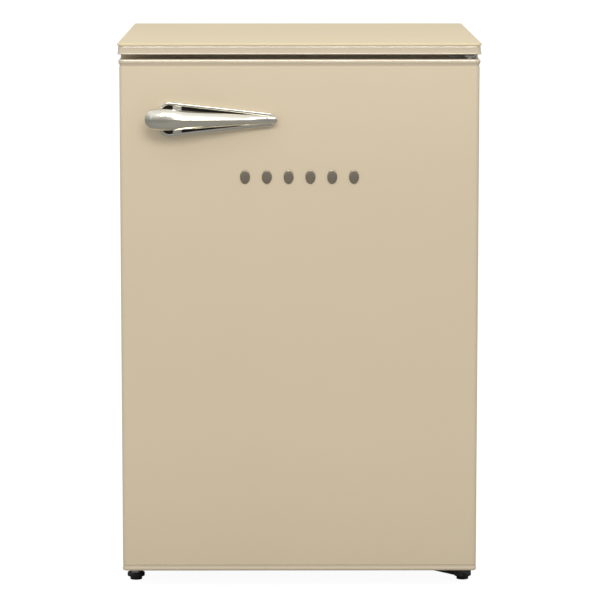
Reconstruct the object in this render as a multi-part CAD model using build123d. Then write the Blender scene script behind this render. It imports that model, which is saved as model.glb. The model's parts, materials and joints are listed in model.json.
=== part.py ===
"""Retro under-counter mini fridge: a foamed steel cabinet with a worktop, a hinged door with a lever
handle, an icebox, shelves, a crisper, door balconies, levelling feet and a compressor cooling circuit.

Millimetres. The front faces -Y, +X is to the right seen from the front, +Z is up. The origin is on the
floor, under the middle of the whole object, its handle included.
"""
from build123d import *
import os

# ---- driving sizes -------------------------------------------------------------------------------

# Outside
worktop_depth = 571.0
worktop_overhang = 3.0         # past the cabinet on each side
overall_height = 840.0
handle_reach = 41.0            # the lever's front, ahead of the door's face
cabinet_width = 544.0
rear_space = 33.0              # behind the cabinet, under the worktop, for the condenser
base_height = 25.5             # underside of the cabinet above the floor
sheet = 1.0                    # painted steel sheet

# Worktop
worktop_thickness = 16.0
worktop_skin = 4.0
worktop_groove = 1.2
worktop_lip = 2.0
fascia_step = 0.8
worktop_corner = 9.0
fascia_width = 18.0

# Door
door_thickness = 46.0
door_gap = 8.0                 # between the door's top and the worktop
door_bottom = 28.2             # underside of the door above the floor
door_corner = 7.0
top_cap_height = 10.8
bottom_cap_height = 9.0
cap_overhang = 1.4
cap_bead = 2.0
liner_wall = 1.6
door_liner_wall = 2.0
seal_gap = 10.0                # door liner to cabinet front
seal_clearance = 0.3
ridge_width = 26.0
ridge_clearance = 12.0         # ridges to the cabinet's liner
side_ridge_rise = 45.0
end_ridge_rise = 22.0
gasket_width = 14.0
gasket_margin = 18.0           # seal to the cabinet's sides

# Insulation
side_insulation = 34.0
top_insulation = 46.0
bottom_insulation = 46.0
back_insulation = 40.0
room_insulation = 32.0
mouth_lip = 14.0
liner_radius = 14.0
liner_top_radius = 6.0
side_flange = 22.0
rail_sheet = 1.2
rail_flange = 25.0

# Machine room
room_depth = 185.0
room_height = 186.5
compressor_from_side = 172.0
compressor_radius = 62.0
compressor_height = 134.0
plate_sheet = 2.0

# Hinges
hinge_from_edge = 15.0
hinge_from_face = 22.0
pin_radius = 4.0
pin_engagement = 12.0
running_clearance = 0.05
bush_radius = 7.0
bracket_sheet = 2.5
bracket_clearance = 2.0

# Feet
foot_from_side = 17.0
foot_from_front = 15.0
pad_radius = 9.25
pad_height = 5.0
pad_flange_radius = 13.5
pad_flange_height = 6.0
stud_radius = 4.0
stud_length = 42.0
stud_hex = 7.5
boss_wall = 4.0
foot_travel = 10.0

# Inside
setback = 122.0                # fronts of shelves, crisper and icebox, behind the cabinet's front
glass = 4.0
ledge_rise = 9.0
ledge_height = 6.0
upper_space = 120.4            # upper shelf to icebox
shelf_pitch = 135.0
spare_drop = 69.0
shelf_side_gap = 3.4
trim_height = 10.0
trim_depth = 12.0
icebox_height = 126.0
icebox_side_gap = 36.4
evaporator_wall = 1.5
evaporator_rear_gap = 19.4     # icebox shell to the liner's back
icebox_frame_depth = 14.0
flap_thickness = 5.0
flap_gap = 1.5
flap_pin_radius = 2.5

# Door balconies
bottle_floor_rise = 27.0       # bottle balcony above the liner's ridge
middle_balcony_drop = 65.0     # middle balcony under the lower shelf
top_balcony_rise = 10.0        # top balcony over the upper shelf
balcony_heights = (96.0, 64.0, 64.0)
balcony_depth = 88.0
balcony_wall = 2.2
balcony_side_gap = 6.2
balcony_back_gap = 0.4
lug_depth = 22.0
lug_height = 10.0
hook_thickness = 3.0

# Handle
handle_from_edge = 39.0
handle_drop = 90.7             # its centre line below the door's top
lever_length = 200.0
plate_start = 20.0             # the plate's wide end, from the lever's end
plate_length = 174.0
plate_wide = 57.0
plate_narrow = 19.0
plate_corner = 16.0
plate_thickness = 9.0
plate_floor = 2.5
plate_rail = 5.5
post_start = 41.5
post_length = 14.0
lever_wide = 32.0
lever_end_width = 21.0
lever_tip_width = 11.0

# Badge studs
stud_count = 6
stud_pitch = 33.0
badge_drop = 178.0
badge_width = 15.0
badge_height = 21.0
badge_rise = 2.5

# Condenser
condenser_offset = 15.0
condenser_tube_radius = 2.5
condenser_wire_radius = 0.8
condenser_passes = 11
condenser_pitch = 48.0
condenser_margin = 50.0
wire_pitch = 22.0

# Small parts
screw_radius = 2.0
screw_head_radius = 4.2
screw_head_height = 2.0
tab_sheet = 3.0
tab_width = 22.0
bush_length = 16.0
drain_radius = 7.0
pipe_radius = 3.0
cord_bore = 3.6
cord_gland_neck = 6.5
crisper_height = 158.0
crisper_wall = 2.2
knob_radius = 17.0
knob_shaft = 3.0
plunger_out = 4.5
plunger_radius = 4.0
pocket_stop = 34.0
lever_seat = 30.0
lever_grip = 28.0
lever_bulb = 24.0

# ---- places worked out from them -----------------------------------------------------------------

worktop_width = cabinet_width + 2 * worktop_overhang
cabinet_depth = worktop_depth - door_thickness - seal_gap - rear_space

y_handle = -(worktop_depth + handle_reach) / 2
y_door = y_handle + handle_reach
y_door_back = y_door + door_thickness
y_front = y_door_back + seal_gap
y_rear = y_front + cabinet_depth
y_end = y_door + worktop_depth

cabinet_half = cabinet_width / 2
cabinet_top = overall_height - worktop_thickness
door_top = cabinet_top - door_gap

liner_half = cabinet_half - side_insulation
liner_floor = base_height + bottom_insulation
liner_top = cabinet_top - top_insulation
liner_back = y_rear - back_insulation
room_y = y_rear - room_depth
room_top = base_height + room_height
riser_y = room_y - sheet - room_insulation
step_top = room_top + sheet + room_insulation

inner_half = liner_half - liner_wall
inner_floor = liner_floor + liner_wall
inner_top = liner_top - liner_wall
inner_back = liner_back - liner_wall
inner_riser = riser_y - liner_wall
step_surface = step_top + liner_wall
cover_level = step_surface + ledge_height
y_inside = y_front + setback

hinge_x = cabinet_half - hinge_from_edge
hinge_y = y_door + hinge_from_face
upper_bracket_z = door_top + bracket_clearance
lower_bracket_z = base_height - bracket_sheet

foot_x = cabinet_half - foot_from_side
foot_y = y_front + foot_from_front
foot_boss_top = base_height + stud_length - foot_travel / 2

ridge_inner = liner_half - ridge_clearance - ridge_width
gasket_outer = cabinet_half - gasket_margin
panel_low = door_bottom + bottom_cap_height
panel_high = door_top - top_cap_height
ridge_low = inner_floor + 12.0
ridge_high = inner_top - 12.0
gasket_low = liner_floor - mouth_lip
gasket_high = liner_top + mouth_lip - 2.0

handle_x = -cabinet_half + handle_from_edge
handle_z = door_top - handle_drop
badge_z = door_top - badge_drop

compressor_x = cabinet_half - compressor_from_side
compressor_y = room_y + room_depth / 2 + 4.0
compressor_foot_z = base_height + 8.0 + plate_sheet + 8.0
evaporator_front = y_inside + icebox_frame_depth
evaporator_rear = inner_back - evaporator_rear_gap
icebox_low = inner_top - icebox_height
icebox_half_width = inner_half - icebox_side_gap
upper_level = icebox_low - upper_space
lower_level = upper_level - shelf_pitch
shelf_levels = (lower_level, upper_level)
spare_levels = (lower_level - spare_drop, upper_level - spare_drop)
balcony_floors = (ridge_low + bottle_floor_rise, lower_level - middle_balcony_drop,
                  upper_level + top_balcony_rise)
condenser_half_width = cabinet_half - condenser_margin
upper_screw_z = upper_bracket_z - 13
upper_screw_xs = (cabinet_half - 36, cabinet_half - 12)
lower_screw_places = [(cabinet_half - 54, y_front + 20), (cabinet_half - 54, y_front + 48),
                      (cabinet_half - 18, y_front + 48)]
tab_x = cabinet_half - 92.0
tab_low = cabinet_top - 18
tab_screw_z = tab_low + 8
drain_x = compressor_x - 80.0
drain_y = inner_back - liner_radius - drain_radius - 3
wire_gaps = int(2 * (condenser_half_width - 22) // wire_pitch)
cord_x = -cabinet_half + 122.0
cord_z = base_height + 8.0 + 16.0
flap_half = icebox_half_width - 8
flap_low = icebox_low + 4
flap_high = inner_top - 12
flap_pin_z = flap_high - 6
flap_pin_y = y_inside + 1 + flap_thickness / 2
crisper_half = inner_half - 16.4
housing_x = inner_half - 40.4
housing_y = (y_inside + 40, y_inside + 160)
housing_z = (shelf_levels[1] + 46, shelf_levels[1] + 98)
lamp_y = (housing_y[0] + 52, housing_y[1] - 10)
lamp_z = (housing_z[0] + 9, housing_z[1] - 9)
knob_x = housing_x + 20
knob_z = (housing_z[0] + housing_z[1]) / 2
switch_x = ridge_inner + ridge_width / 2
switch_z = shelf_levels[1] + 72
lug_y = y_door_back + 16


# ---- building blocks -----------------------------------------------------------------------------

def block(x, y, z):
    """A box between the two ends given for each axis."""
    size = [abs(high - low) for low, high in (x, y, z)]
    middle = [(low + high) / 2 for low, high in (x, y, z)]
    return Pos(*middle) * Box(*size)


def slab(x, y, z, radius, axis=Axis.Z):
    """A box with its four edges along one axis rounded."""
    solid = block(x, y, z)
    return fillet(solid.edges().filter_by(axis), radius)


def rod(start, direction, radius, length):
    """A round bar that runs from a point along a direction."""
    place = Plane(origin=start, z_dir=direction)
    return place * Cylinder(radius, length, align=(Align.CENTER, Align.CENTER, Align.MIN))


def prism(points, low, high):
    """A flat outline of (x, y) points, drawn up from one height to another."""
    face = make_face(Polyline(*points, close=True))
    return Pos(0, 0, low) * extrude(face, high - low)


def profile_across(points, half_width):
    """A closed (y, z) profile, drawn out to both sides."""
    face = Plane.YZ * make_face(Polyline(*points, close=True))
    return extrude(face, half_width, both=True)


def mirrored(shape):
    """The same piece on the other side of the object."""
    return mirror(shape, Plane.YZ)


def pair(shape):
    """A piece and its mirror image, as two solids."""
    return Compound([*shape.solids(), *mirrored(shape).solids()])


def tube(points, radii, radius):
    """A bent round pipe along straight runs joined by arcs."""
    path = FilletPolyline(*points, radius=radii)
    start = Plane(origin=path @ 0, z_dir=path % 0)
    return sweep(start * Circle(radius), path=path)


# ---- cabinet shell -------------------------------------------------------------------------------

def side_panel():
    """The right side sheet, with its front flange for the seal and its rear flange."""
    wall = block((cabinet_half - sheet, cabinet_half), (y_front, y_rear), (base_height, cabinet_top))
    front = block((cabinet_half - side_flange, cabinet_half), (y_front, y_front + sheet),
                  (base_height, cabinet_top))
    rear = block((cabinet_half - side_flange * 0.6, cabinet_half), (y_rear - sheet, y_rear),
                 (room_top + sheet, cabinet_top))
    return wall + front + rear - upper_screw_holes()


def top_panel():
    inner = cabinet_half - sheet
    return block((-inner, inner), (y_front + rail_sheet, y_rear - sheet), (cabinet_top - sheet, cabinet_top))


def rear_panel():
    """The plain sheet that closes the foamed back, over the machine room."""
    inner = cabinet_half - sheet
    return block((-inner, inner), (y_rear, y_rear + sheet), (room_top, cabinet_top))


def base_panel():
    """One folded sheet: the cabinet's underside, the machine room's front wall and its ceiling."""
    inner = cabinet_half - sheet
    x = (-inner, inner)
    floor = block(x, (y_front + rail_sheet, room_y), (base_height, base_height + sheet))
    riser = block(x, (room_y - sheet, room_y), (base_height, room_top + sheet))
    ceiling = block(x, (room_y - sheet, y_rear), (room_top, room_top + sheet))
    return floor + riser + ceiling - drain_bore() - pair(foot_boss())


def front_rail(web_low, web_high, flange_low):
    """A folded cross rail between the side flanges."""
    half = cabinet_half - side_flange
    web = block((-half, half), (y_front, y_front + rail_sheet), (web_low, web_high))
    flange = block((-half, half), (y_front, y_front + rail_flange), (flange_low, flange_low + rail_sheet))
    return web + flange


def front_rails():
    """The rail over the mouth and the rail under it."""
    high = cabinet_top - sheet
    low = base_height + sheet
    top = front_rail(liner_top + mouth_lip, high, high - rail_sheet)
    bottom = front_rail(low, liner_floor - mouth_lip, low) - pair(foot_boss())
    return Compound([*(top - upper_screw_holes()).solids(), *bottom.solids()])


def upper_screw_holes():
    """The holes of the upper hinge's screws, on both sides, so that the door can be hung either way."""
    holes = [rod((x, y_front - 1, upper_screw_z), (0, 1, 0), screw_radius, 4) for x in upper_screw_xs]
    return Compound([solid for hole in holes for solid in (*hole.solids(), *mirrored(hole).solids())])


def cavity(inset, front):
    """The liner's stepped hollow, with its corners rounded, set in from the liner's outside."""
    low, high = liner_floor + inset, liner_top - inset
    back, riser, step = liner_back - inset, riser_y - inset, step_top + inset
    points = [(front, low), (riser, low), (riser, step), (back, step), (back, high), (front, high)]
    solid = profile_across(points, liner_half - inset)
    inner = solid.edges().filter_by(lambda edge: edge.center().Y > front + 0.01)
    solid = fillet(inner.filter_by(lambda edge: edge.center().Z < high - 0.01), liner_radius - inset)
    rim = solid.faces().sort_by(Axis.Z)[-1].edges().filter_by(lambda edge: edge.center().Y > front + 0.01)
    return fillet(rim, liner_top_radius - inset)


def ledge(level):
    """A pair of shelf ledges on the liner's side walls, with their top at a level."""
    rib = block((inner_half - ledge_rise, inner_half + 0.5), (y_inside, inner_back - liner_radius),
                (level - ledge_height, level))
    return pair(rib)


def drain_bore():
    """The drain's way down through the step into the machine room."""
    return rod((drain_x, drain_y, room_top - 1), (0, 0, 1), drain_radius, step_top - room_top + 4)


def cabinet_liner():
    """The moulded liner: stepped cavity, lip around the mouth and the shelf ledges."""
    lip = block((-liner_half - mouth_lip + 2, liner_half + mouth_lip - 2), (y_front, y_front + liner_wall),
                (liner_floor - mouth_lip, liner_top + mouth_lip))
    solid = cavity(0, y_front) + lip - cavity(liner_wall, y_front - 1)
    for level in (cover_level,) + shelf_levels + spare_levels:
        solid += ledge(level) & cavity(0, y_front)
    return solid - drain_bore()


def cabinet_foam():
    """The foam between the steel shell and the liner."""
    inner = cabinet_half - sheet
    solid = block((-inner, inner), (y_front + liner_wall, y_rear), (base_height + sheet, cabinet_top - sheet))
    solid -= block((-inner, inner), (room_y - sheet, y_rear), (0, room_top + sheet))
    solid -= cavity(0, y_front - 1)
    solid -= pair(side_panel())
    solid -= front_rails()
    solid -= pair(foot_boss())
    return solid - drain_bore()


# ---- worktop -------------------------------------------------------------------------------------

def worktop_plan(inset, low, high):
    """The worktop's rounded outline, set in by a step, between two heights."""
    half = worktop_width / 2 - inset
    return slab((-half, half), (y_door + inset, y_end - inset), (low, high), worktop_corner - inset)


def worktop_panel():
    """The top skin with a rounded edge, and the core that fills the frame under it."""
    skin = worktop_plan(0, overall_height - worktop_skin, overall_height)
    skin = fillet(skin.faces().sort_by(Axis.Z)[-1].edges(), worktop_skin / 2)
    half = worktop_width / 2 - fascia_width
    core = block((-half, half), (y_door + fascia_width, y_end - fascia_width),
                 (cabinet_top, overall_height - worktop_skin))
    return skin + core


def worktop_frame():
    """The moulded fascia around the core, with a lip along its foot and two fixing tabs behind."""
    top = overall_height - worktop_skin - worktop_groove
    frame = worktop_plan(fascia_step, cabinet_top, top)
    frame += worktop_plan(0, cabinet_top, cabinet_top + worktop_lip)
    half = worktop_width / 2 - fascia_width
    frame -= block((-half, half), (y_door + fascia_width, y_end - fascia_width), (cabinet_top - 1, top + 1))
    x = (tab_x - tab_width / 2, tab_x + tab_width / 2)
    tab = block(x, (y_rear + sheet, y_rear + sheet + tab_sheet), (tab_low, cabinet_top))
    tab += block(x, (y_rear + sheet, y_end - fascia_width / 2), (cabinet_top - tab_sheet, cabinet_top))
    tab -= rod((tab_x, y_rear, tab_screw_z), (0, 1, 0), screw_radius, 10)
    return frame + tab + mirrored(tab)


# ---- hinges, screws and feet ---------------------------------------------------------------------

def upper_hinge_bracket():
    """An angle bracket on the top rail: its upright leaf is screwed on, its flat leaf holds the pin."""
    z = upper_bracket_z
    right = cabinet_half - 3
    leaf = block((right - 40, right), (y_front - bracket_sheet, y_front), (z - 26, z + bracket_sheet))
    arm = prism([(right - 40, y_front), (right, y_front), (hinge_x + 7, hinge_y - 7),
                 (hinge_x - 7, hinge_y - 7)],
                z, z + bracket_sheet)
    solid = leaf + arm - rod((hinge_x, hinge_y, z - 1), (0, 0, 1), pin_radius, bracket_sheet + 2)
    for x in upper_screw_xs:
        solid -= rod((x, y_front - 5, upper_screw_z), (0, 1, 0), screw_radius, 6)
    return solid


def foot_boss():
    """The threaded boss for a levelling foot, seen as a solid post in the cabinet's floor."""
    return rod((foot_x, foot_y, base_height - 0.5), (0, 0, 1), stud_radius + boss_wall,
               foot_boss_top - base_height + 0.5)


def foot_carrier(outline):
    """A plate under the cabinet, with the boss that a levelling foot screws into."""
    plate = prism(outline, lower_bracket_z, base_height)
    solid = plate + foot_boss()
    return solid - rod((foot_x, foot_y, lower_bracket_z - 1), (0, 0, 1), stud_radius + running_clearance,
                       foot_boss_top - lower_bracket_z - 1)


def lower_hinge_bracket():
    """The foot plate on the hinge side, which runs on under the door and has a folded slanting lip."""
    left, right, back = cabinet_half - 66, cabinet_half - 4, y_front + 62
    near, tip = y_front + 4, hinge_y - 8
    outline = [(left, back), (right, back), (right, near), (hinge_x + 8, tip), (hinge_x - 8, tip),
               (left, near)]
    solid = foot_carrier(outline)
    lip = prism([(left, near), (hinge_x - 8, tip), (hinge_x - 8 + bracket_sheet, tip),
                 (left + bracket_sheet, near)],
                lower_bracket_z - 7, lower_bracket_z)
    solid += lip
    solid -= rod((hinge_x, hinge_y, lower_bracket_z - 1), (0, 0, 1), pin_radius, bracket_sheet + 2)
    for x, y in lower_screw_places:
        solid -= rod((x, y, lower_bracket_z - 1), (0, 0, 1), screw_radius, bracket_sheet + 2)
    return solid


def left_foot_plate():
    """The plain foot plate on the handle side."""
    left, right, near, back = cabinet_half - 66, cabinet_half - 4, y_front + 1, y_front + 62
    solid = foot_carrier([(left, back), (right, back), (right, near), (left, near)])
    for x, y in lower_screw_places:
        solid -= rod((x, y, lower_bracket_z - 1), (0, 0, 1), screw_radius, bracket_sheet + 2)
    return mirrored(solid)


def hinge_pins():
    """The two pins that the door turns on, each riveted in its bracket."""
    upper_low = door_top - pin_engagement
    upper = rod((hinge_x, hinge_y, upper_low), (0, 0, 1), pin_radius,
                upper_bracket_z + bracket_sheet - upper_low)
    lower_high = door_bottom + pin_engagement
    lower = rod((hinge_x, hinge_y, lower_bracket_z), (0, 0, 1), pin_radius, lower_high - lower_bracket_z)
    return Compound([*upper.solids(), *lower.solids()])


def screw(seat, outward, length):
    """A cross-head screw: its domed head stands on a seat, its shank runs in behind it."""
    x, y, z = outward
    inward = (-x, -y, -z)
    head = rod(seat, outward, screw_head_radius, screw_head_height)
    head = fillet(head.faces().sort_by(Axis((0, 0, 0), outward))[-1].edges(), screw_head_height * 0.6)
    shank = rod(seat, inward, screw_radius, length)
    top = [place + screw_head_height * step for place, step in zip(seat, outward)]
    solid = head + shank
    for turn in (0, 90):
        slot = Plane(origin=top, z_dir=outward) * Rot(0, 0, turn) * Box(screw_head_radius, 1.0, 1.4)
        solid -= slot
    return solid


def cabinet_screws():
    """The screws of both hinge brackets, the left foot plate and the worktop's tabs."""
    screws = [screw((x, y_front - bracket_sheet, upper_screw_z), (0, -1, 0), bracket_sheet + rail_sheet)
              for x in upper_screw_xs]
    for side in (1, -1):
        screws += [screw((side * x, y, lower_bracket_z), (0, 0, -1), bracket_sheet)
                   for x, y in lower_screw_places]
        screws.append(screw((side * tab_x, y_rear + sheet + tab_sheet, tab_screw_z), (0, 1, 0), tab_sheet))
    return Compound([solid for each in screws for solid in each.solids()])


def rear_feet():
    """Two fixed moulded feet under the ends of the compressor plate."""
    foot = rod((foot_x - 10, y_rear - 34, 0), (0, 0, 1), 14, base_height + 8.0)
    foot = chamfer(foot.faces().sort_by(Axis.Z)[0].edges(), 2)
    return pair(foot)


def foot_pad():
    """The moulded pad of a levelling foot: narrow sole, wide flange and the socket for its stud."""
    sole = rod((foot_x, foot_y, 0), (0, 0, 1), pad_radius, pad_height)
    flange = rod((foot_x, foot_y, pad_height), (0, 0, 1), pad_flange_radius, pad_flange_height)
    flange = fillet(flange.edges().filter_by(GeomType.CIRCLE), 1.2)
    socket = rod((foot_x, foot_y, pad_height), (0, 0, 1), stud_radius + running_clearance, 20)
    return sole + flange - socket


def foot_stud():
    """The threaded stud of a levelling foot, with the hexagon that turns it."""
    stud = rod((foot_x, foot_y, pad_height), (0, 0, 1), stud_radius, stud_length)
    stud = chamfer(stud.faces().sort_by(Axis.Z)[-1].edges(), 0.8)
    hexagon = Pos(foot_x, foot_y, pad_height + pad_flange_height) * extrude(RegularPolygon(stud_hex, 6), 5)
    return stud + hexagon


# ---- machine room and cooling circuit ------------------------------------------------------------

def compressor_plate():
    """The cross plate that carries the compressor, folded up at both ends and behind."""
    inner = cabinet_half - sheet
    low = base_height + 8.0
    y0, y1 = room_y + 14, y_rear - 6
    plate = block((-inner, inner), (y0, y1), (low, low + plate_sheet))
    back = block((-inner, inner), (y1 - plate_sheet, y1), (low, low + 30))
    end = block((inner - plate_sheet, inner), (y0, y1), (low, low + 30))
    solid = plate + back + end + mirrored(end)
    return solid - rod((cord_x, y1 - 5, cord_z), (0, 1, 0), cord_gland_neck, 10)


def compressor():
    """The welded steel pot on its foot plate, with its seam flange and pipe stubs."""
    z = compressor_foot_z
    x, y = compressor_x, compressor_y
    pot = rod((x, y, z + 6), (0, 0, 1), compressor_radius, compressor_height - 6)
    pot = fillet(pot.faces().sort_by(Axis.Z)[-1].edges(), 34)
    pot = fillet(pot.faces().sort_by(Axis.Z)[0].edges(), 16)
    seam = rod((x, y, z + 62), (0, 0, 1), compressor_radius + 4, 5)
    seam = fillet(seam.edges().filter_by(GeomType.CIRCLE), 1.5)
    feet = slab((x - 86, x + 86), (y - 60, y + 60), (z, z + 3), 16)
    stand = rod((x, y, z + 1), (0, 0, 1), 40, 12)
    return pot + seam + feet + stand


def compressor_grommets():
    """Four rubber grommets between the compressor's foot plate and the cross plate."""
    low = base_height + 8.0 + plate_sheet
    grommets = []
    for dx in (-74, 74):
        for dy in (-48, 48):
            grommet = rod((compressor_x + dx, compressor_y + dy, low), (0, 0, 1), 11, compressor_foot_z - low)
            grommets.append(grommet)
    return Compound([solid for each in grommets for solid in each.solids()])


def relay_cover():
    """The moulded cover over the compressor's terminals."""
    x1 = compressor_x - compressor_radius + 6
    z = compressor_foot_z + 14
    cover = slab((x1 - 34, x1), (compressor_y - 26, compressor_y + 26), (z, z + 44), 6, Axis.X)
    return cover - rod((compressor_x, compressor_y, 0), (0, 0, 1), compressor_radius, room_top)


def cord_grommet():
    """The grooved rubber gland that the mains lead passes through."""
    y1 = y_rear - 6
    neck = rod((cord_x, y1 - plate_sheet, cord_z), (0, 1, 0), cord_gland_neck, plate_sheet)
    outer = rod((cord_x, y1, cord_z), (0, 1, 0), cord_gland_neck + 3, 5)
    outer = fillet(outer.faces().sort_by(Axis.Y)[-1].edges(), 1.5)
    inner = rod((cord_x, y1 - plate_sheet - 3, cord_z), (0, 1, 0), cord_gland_neck + 3, 3)
    bore = rod((cord_x, y1 - 20, cord_z), (0, 1, 0), cord_bore, 40)
    return neck + outer + inner - bore


def evaporation_tray():
    """The open tray on the compressor that dries off the melt water."""
    z = compressor_foot_z + compressor_height
    x = (drain_x - 16, compressor_x + 48)
    y = (compressor_y - 46, compressor_y + 46)
    tray = slab(x, y, (z, z + 17), 10)
    hollow = slab((x[0] + 2, x[1] - 2), (y[0] + 2, y[1] - 2), (z + 2, z + 30), 8)
    return tray - hollow


def drain_tube():
    """The tube that leads melt water from the liner's step down over the tray."""
    low = room_top - 14
    outer = rod((drain_x, drain_y, low), (0, 0, 1), drain_radius, step_surface - low)
    return outer - rod((drain_x, drain_y, low - 1), (0, 0, 1), drain_radius - 1.6, 80)


def condenser_y():
    return y_rear + sheet + condenser_offset


def condenser_low():
    return cabinet_top - 24 - (condenser_passes - 1) * condenser_pitch


def condenser_tube():
    """The serpentine tube of the condenser, bent in one plane."""
    half, y = condenser_half_width, condenser_y()
    points = []
    for number in range(condenser_passes):
        z = condenser_low() + number * condenser_pitch
        ends = (-half, half) if number % 2 == 0 else (half, -half)
        points += [(ends[0], y, z), (ends[1], y, z)]
    return tube(points, condenser_pitch * 0.42, condenser_tube_radius)


def condenser_wires():
    """Upright wires welded over both faces of the serpentine."""
    low = condenser_low() - 8
    length = (condenser_passes - 1) * condenser_pitch + 16
    wires = []
    for number in range(wire_gaps + 1):
        x = (number - wire_gaps / 2) * wire_pitch
        offset = condenser_tube_radius + condenser_wire_radius
        for side in (-1, 1):
            wires.append(rod((x, condenser_y() + side * offset, low), (0, 0, 1), condenser_wire_radius,
                             length))
    return Compound([solid for each in wires for solid in each.solids()])


def condenser_brackets():
    """Four moulded clips that hold the serpentine off the rear panel."""
    clips = []
    for number in (1, condenser_passes - 3):
        z = condenser_low() + number * condenser_pitch
        for side in (-1, 1):
            x = side * (wire_gaps / 2 - 0.5) * wire_pitch
            y0 = y_rear + sheet
            clip = slab((x - 6, x + 6), (y0, condenser_y() + 6), (z - 8, z + 8), 2, Axis.Y)
            clips.append(clip - rod((x - 20, condenser_y(), z), (1, 0, 0), condenser_tube_radius, 40))
    return Compound([solid for each in clips for solid in each.solids()])


def refrigerant_pipes():
    """The discharge pipe up to the condenser, the suction pipe from the icebox and the drier's pipe."""
    z = compressor_foot_z
    y = condenser_y()
    low = condenser_low()
    half = condenser_half_width
    discharge = tube([(compressor_x + 20, compressor_y + 50, z + 84), (compressor_x + 20, y - 26, z + 84),
                      (-half - 14, y - 26, z + 84), (-half - 14, y, z + 130), (-half - 14, y, low),
                      (-half, y, low)], (14, 14, 14, 6), pipe_radius)
    suction = tube([(compressor_x - 30, compressor_y - 40, z + 96), (compressor_x - 30, room_y + 12, z + 96),
                    (compressor_x - 90, room_y + 12, z + 96), (compressor_x - 90, room_y + 12, room_top)],
                   (10, 14), pipe_radius)
    pot = compressor()
    return Compound([*(discharge - pot).solids(), *(suction - pot).solids()])


def filter_drier():
    """The copper drier between the condenser and the capillary, standing in a clip at the left."""
    x, y = -cabinet_half + 60, y_rear - 40
    low = base_height + 8.0 + plate_sheet
    body = rod((x, y, low + 26), (0, 0, 1), 9, 84)
    body = chamfer(body.edges().filter_by(GeomType.CIRCLE), 5)
    stem = rod((x, y, low), (0, 0, 1), 2.2, 140)
    return body + stem


# ---- inside of the cabinet -----------------------------------------------------------------------

def evaporator():
    """The icebox's aluminium shell, open to the front, hung from the liner's ceiling."""
    half = icebox_half_width
    y0, y1 = evaporator_front, evaporator_rear
    shell = slab((-half, half), (y0, y1), (icebox_low, inner_top), 10, Axis.Y)
    hollow = slab((-half + evaporator_wall, half - evaporator_wall), (y0 - 1, y1 - evaporator_wall),
                  (icebox_low + evaporator_wall, inner_top - evaporator_wall), 10 - evaporator_wall, Axis.Y)
    return shell - hollow


def icebox_frame():
    """The moulded surround of the icebox, with the bores that its flap hangs in."""
    half = inner_half - 3
    outline = slab((-half, half), (y_inside, evaporator_front), (icebox_low - 10, inner_top),
                   liner_radius, Axis.Y)
    mouth = slab((-flap_half - flap_gap, flap_half + flap_gap), (y_inside - 1, evaporator_front + 1),
                 (flap_low - flap_gap, flap_high + flap_gap), 5, Axis.Y)
    bore = rod((-flap_half - 8, flap_pin_y, flap_pin_z), (1, 0, 0), flap_pin_radius + running_clearance,
               2 * flap_half + 16)
    return outline - mouth - bore


def icebox_flap():
    """The icebox's door: a panel with a rim, a finger lip and a pin at each upper end."""
    y0 = y_inside + 1
    panel = slab((-flap_half, flap_half), (y0, y0 + flap_thickness), (flap_low, flap_high), 4, Axis.Y)
    field = slab((-flap_half + 8, flap_half - 8), (y0 - 1, y0 + 1.2), (flap_low + 8, flap_pin_z - 8), 3,
                 Axis.Y)
    grip = slab((-42, 42), (y0 - 9, y0 + 1), (flap_low + 2, flap_low + 6), 1.5, Axis.Y)
    pins = rod((-flap_half - 6, flap_pin_y, flap_pin_z), (1, 0, 0), flap_pin_radius, 2 * flap_half + 12)
    return panel - field + grip + pins


def shelf_glass(level):
    half = inner_half - shelf_side_gap
    return slab((-half, half), (y_inside + 4, inner_back - 12), (level, level + glass), 3)


def shelf_trim(level):
    """The channel trims along a shelf's front and rear edges."""
    half = inner_half - ledge_rise - 1.5
    front, rear = y_inside, inner_back - 8 - trim_depth + 4
    solids = []
    for y0 in (front, rear):
        bar = slab((-half, half), (y0, y0 + trim_depth), (level - 3, level - 3 + trim_height), 1.5, Axis.X)
        solids.append(bar - shelf_glass(level))
    return Compound([solid for each in solids for solid in each.solids()])


def crisper_cover():
    """The glass cover over the crisper, resting on its ledges and on the step."""
    half = inner_half - shelf_side_gap
    return slab((-half, half), (y_inside, drain_y - drain_radius - 6), (cover_level, cover_level + glass), 3)


def crisper_drawer():
    """A clear open drawer with rounded corners and a finger lip along its front."""
    x = (-crisper_half, crisper_half)
    y = (y_inside + 8, inner_riser - liner_radius)
    z = (inner_floor, inner_floor + crisper_height)
    body = fillet(slab(x, y, z, 12).faces().sort_by(Axis.Z)[0].edges(), 6)
    wall = crisper_wall
    hollow = slab((x[0] + wall, x[1] - wall), (y[0] + wall, y[1] - wall), (z[0] + wall, z[1] + 10), 12 - wall)
    hollow = fillet(hollow.faces().sort_by(Axis.Z)[0].edges(), 4)
    lip = slab((x[0] + 24, x[1] - 24), (y_inside, y[0] + 1), (z[1] - 12, z[1] - 8), 1.5, Axis.Z)
    return body - hollow + lip


def thermostat_housing():
    """The hollow control housing on the right wall, with a dial bore and a window for the lamp."""
    x, y, z = housing_x, housing_y, housing_z
    solid = slab((x, inner_half), y, z, 6, Axis.X)
    wall = 2.0
    hollow = block((x + wall, inner_half - wall), (y[0] + wall + 10, y[1] - wall), (z[0] + wall, z[1] - wall))
    solid -= hollow
    solid -= block((x - 1, x + wall + 1), lamp_y, lamp_z)
    return solid - rod((knob_x, y[0] - 1, knob_z), (0, 1, 0), knob_shaft + running_clearance, 12)


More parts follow.
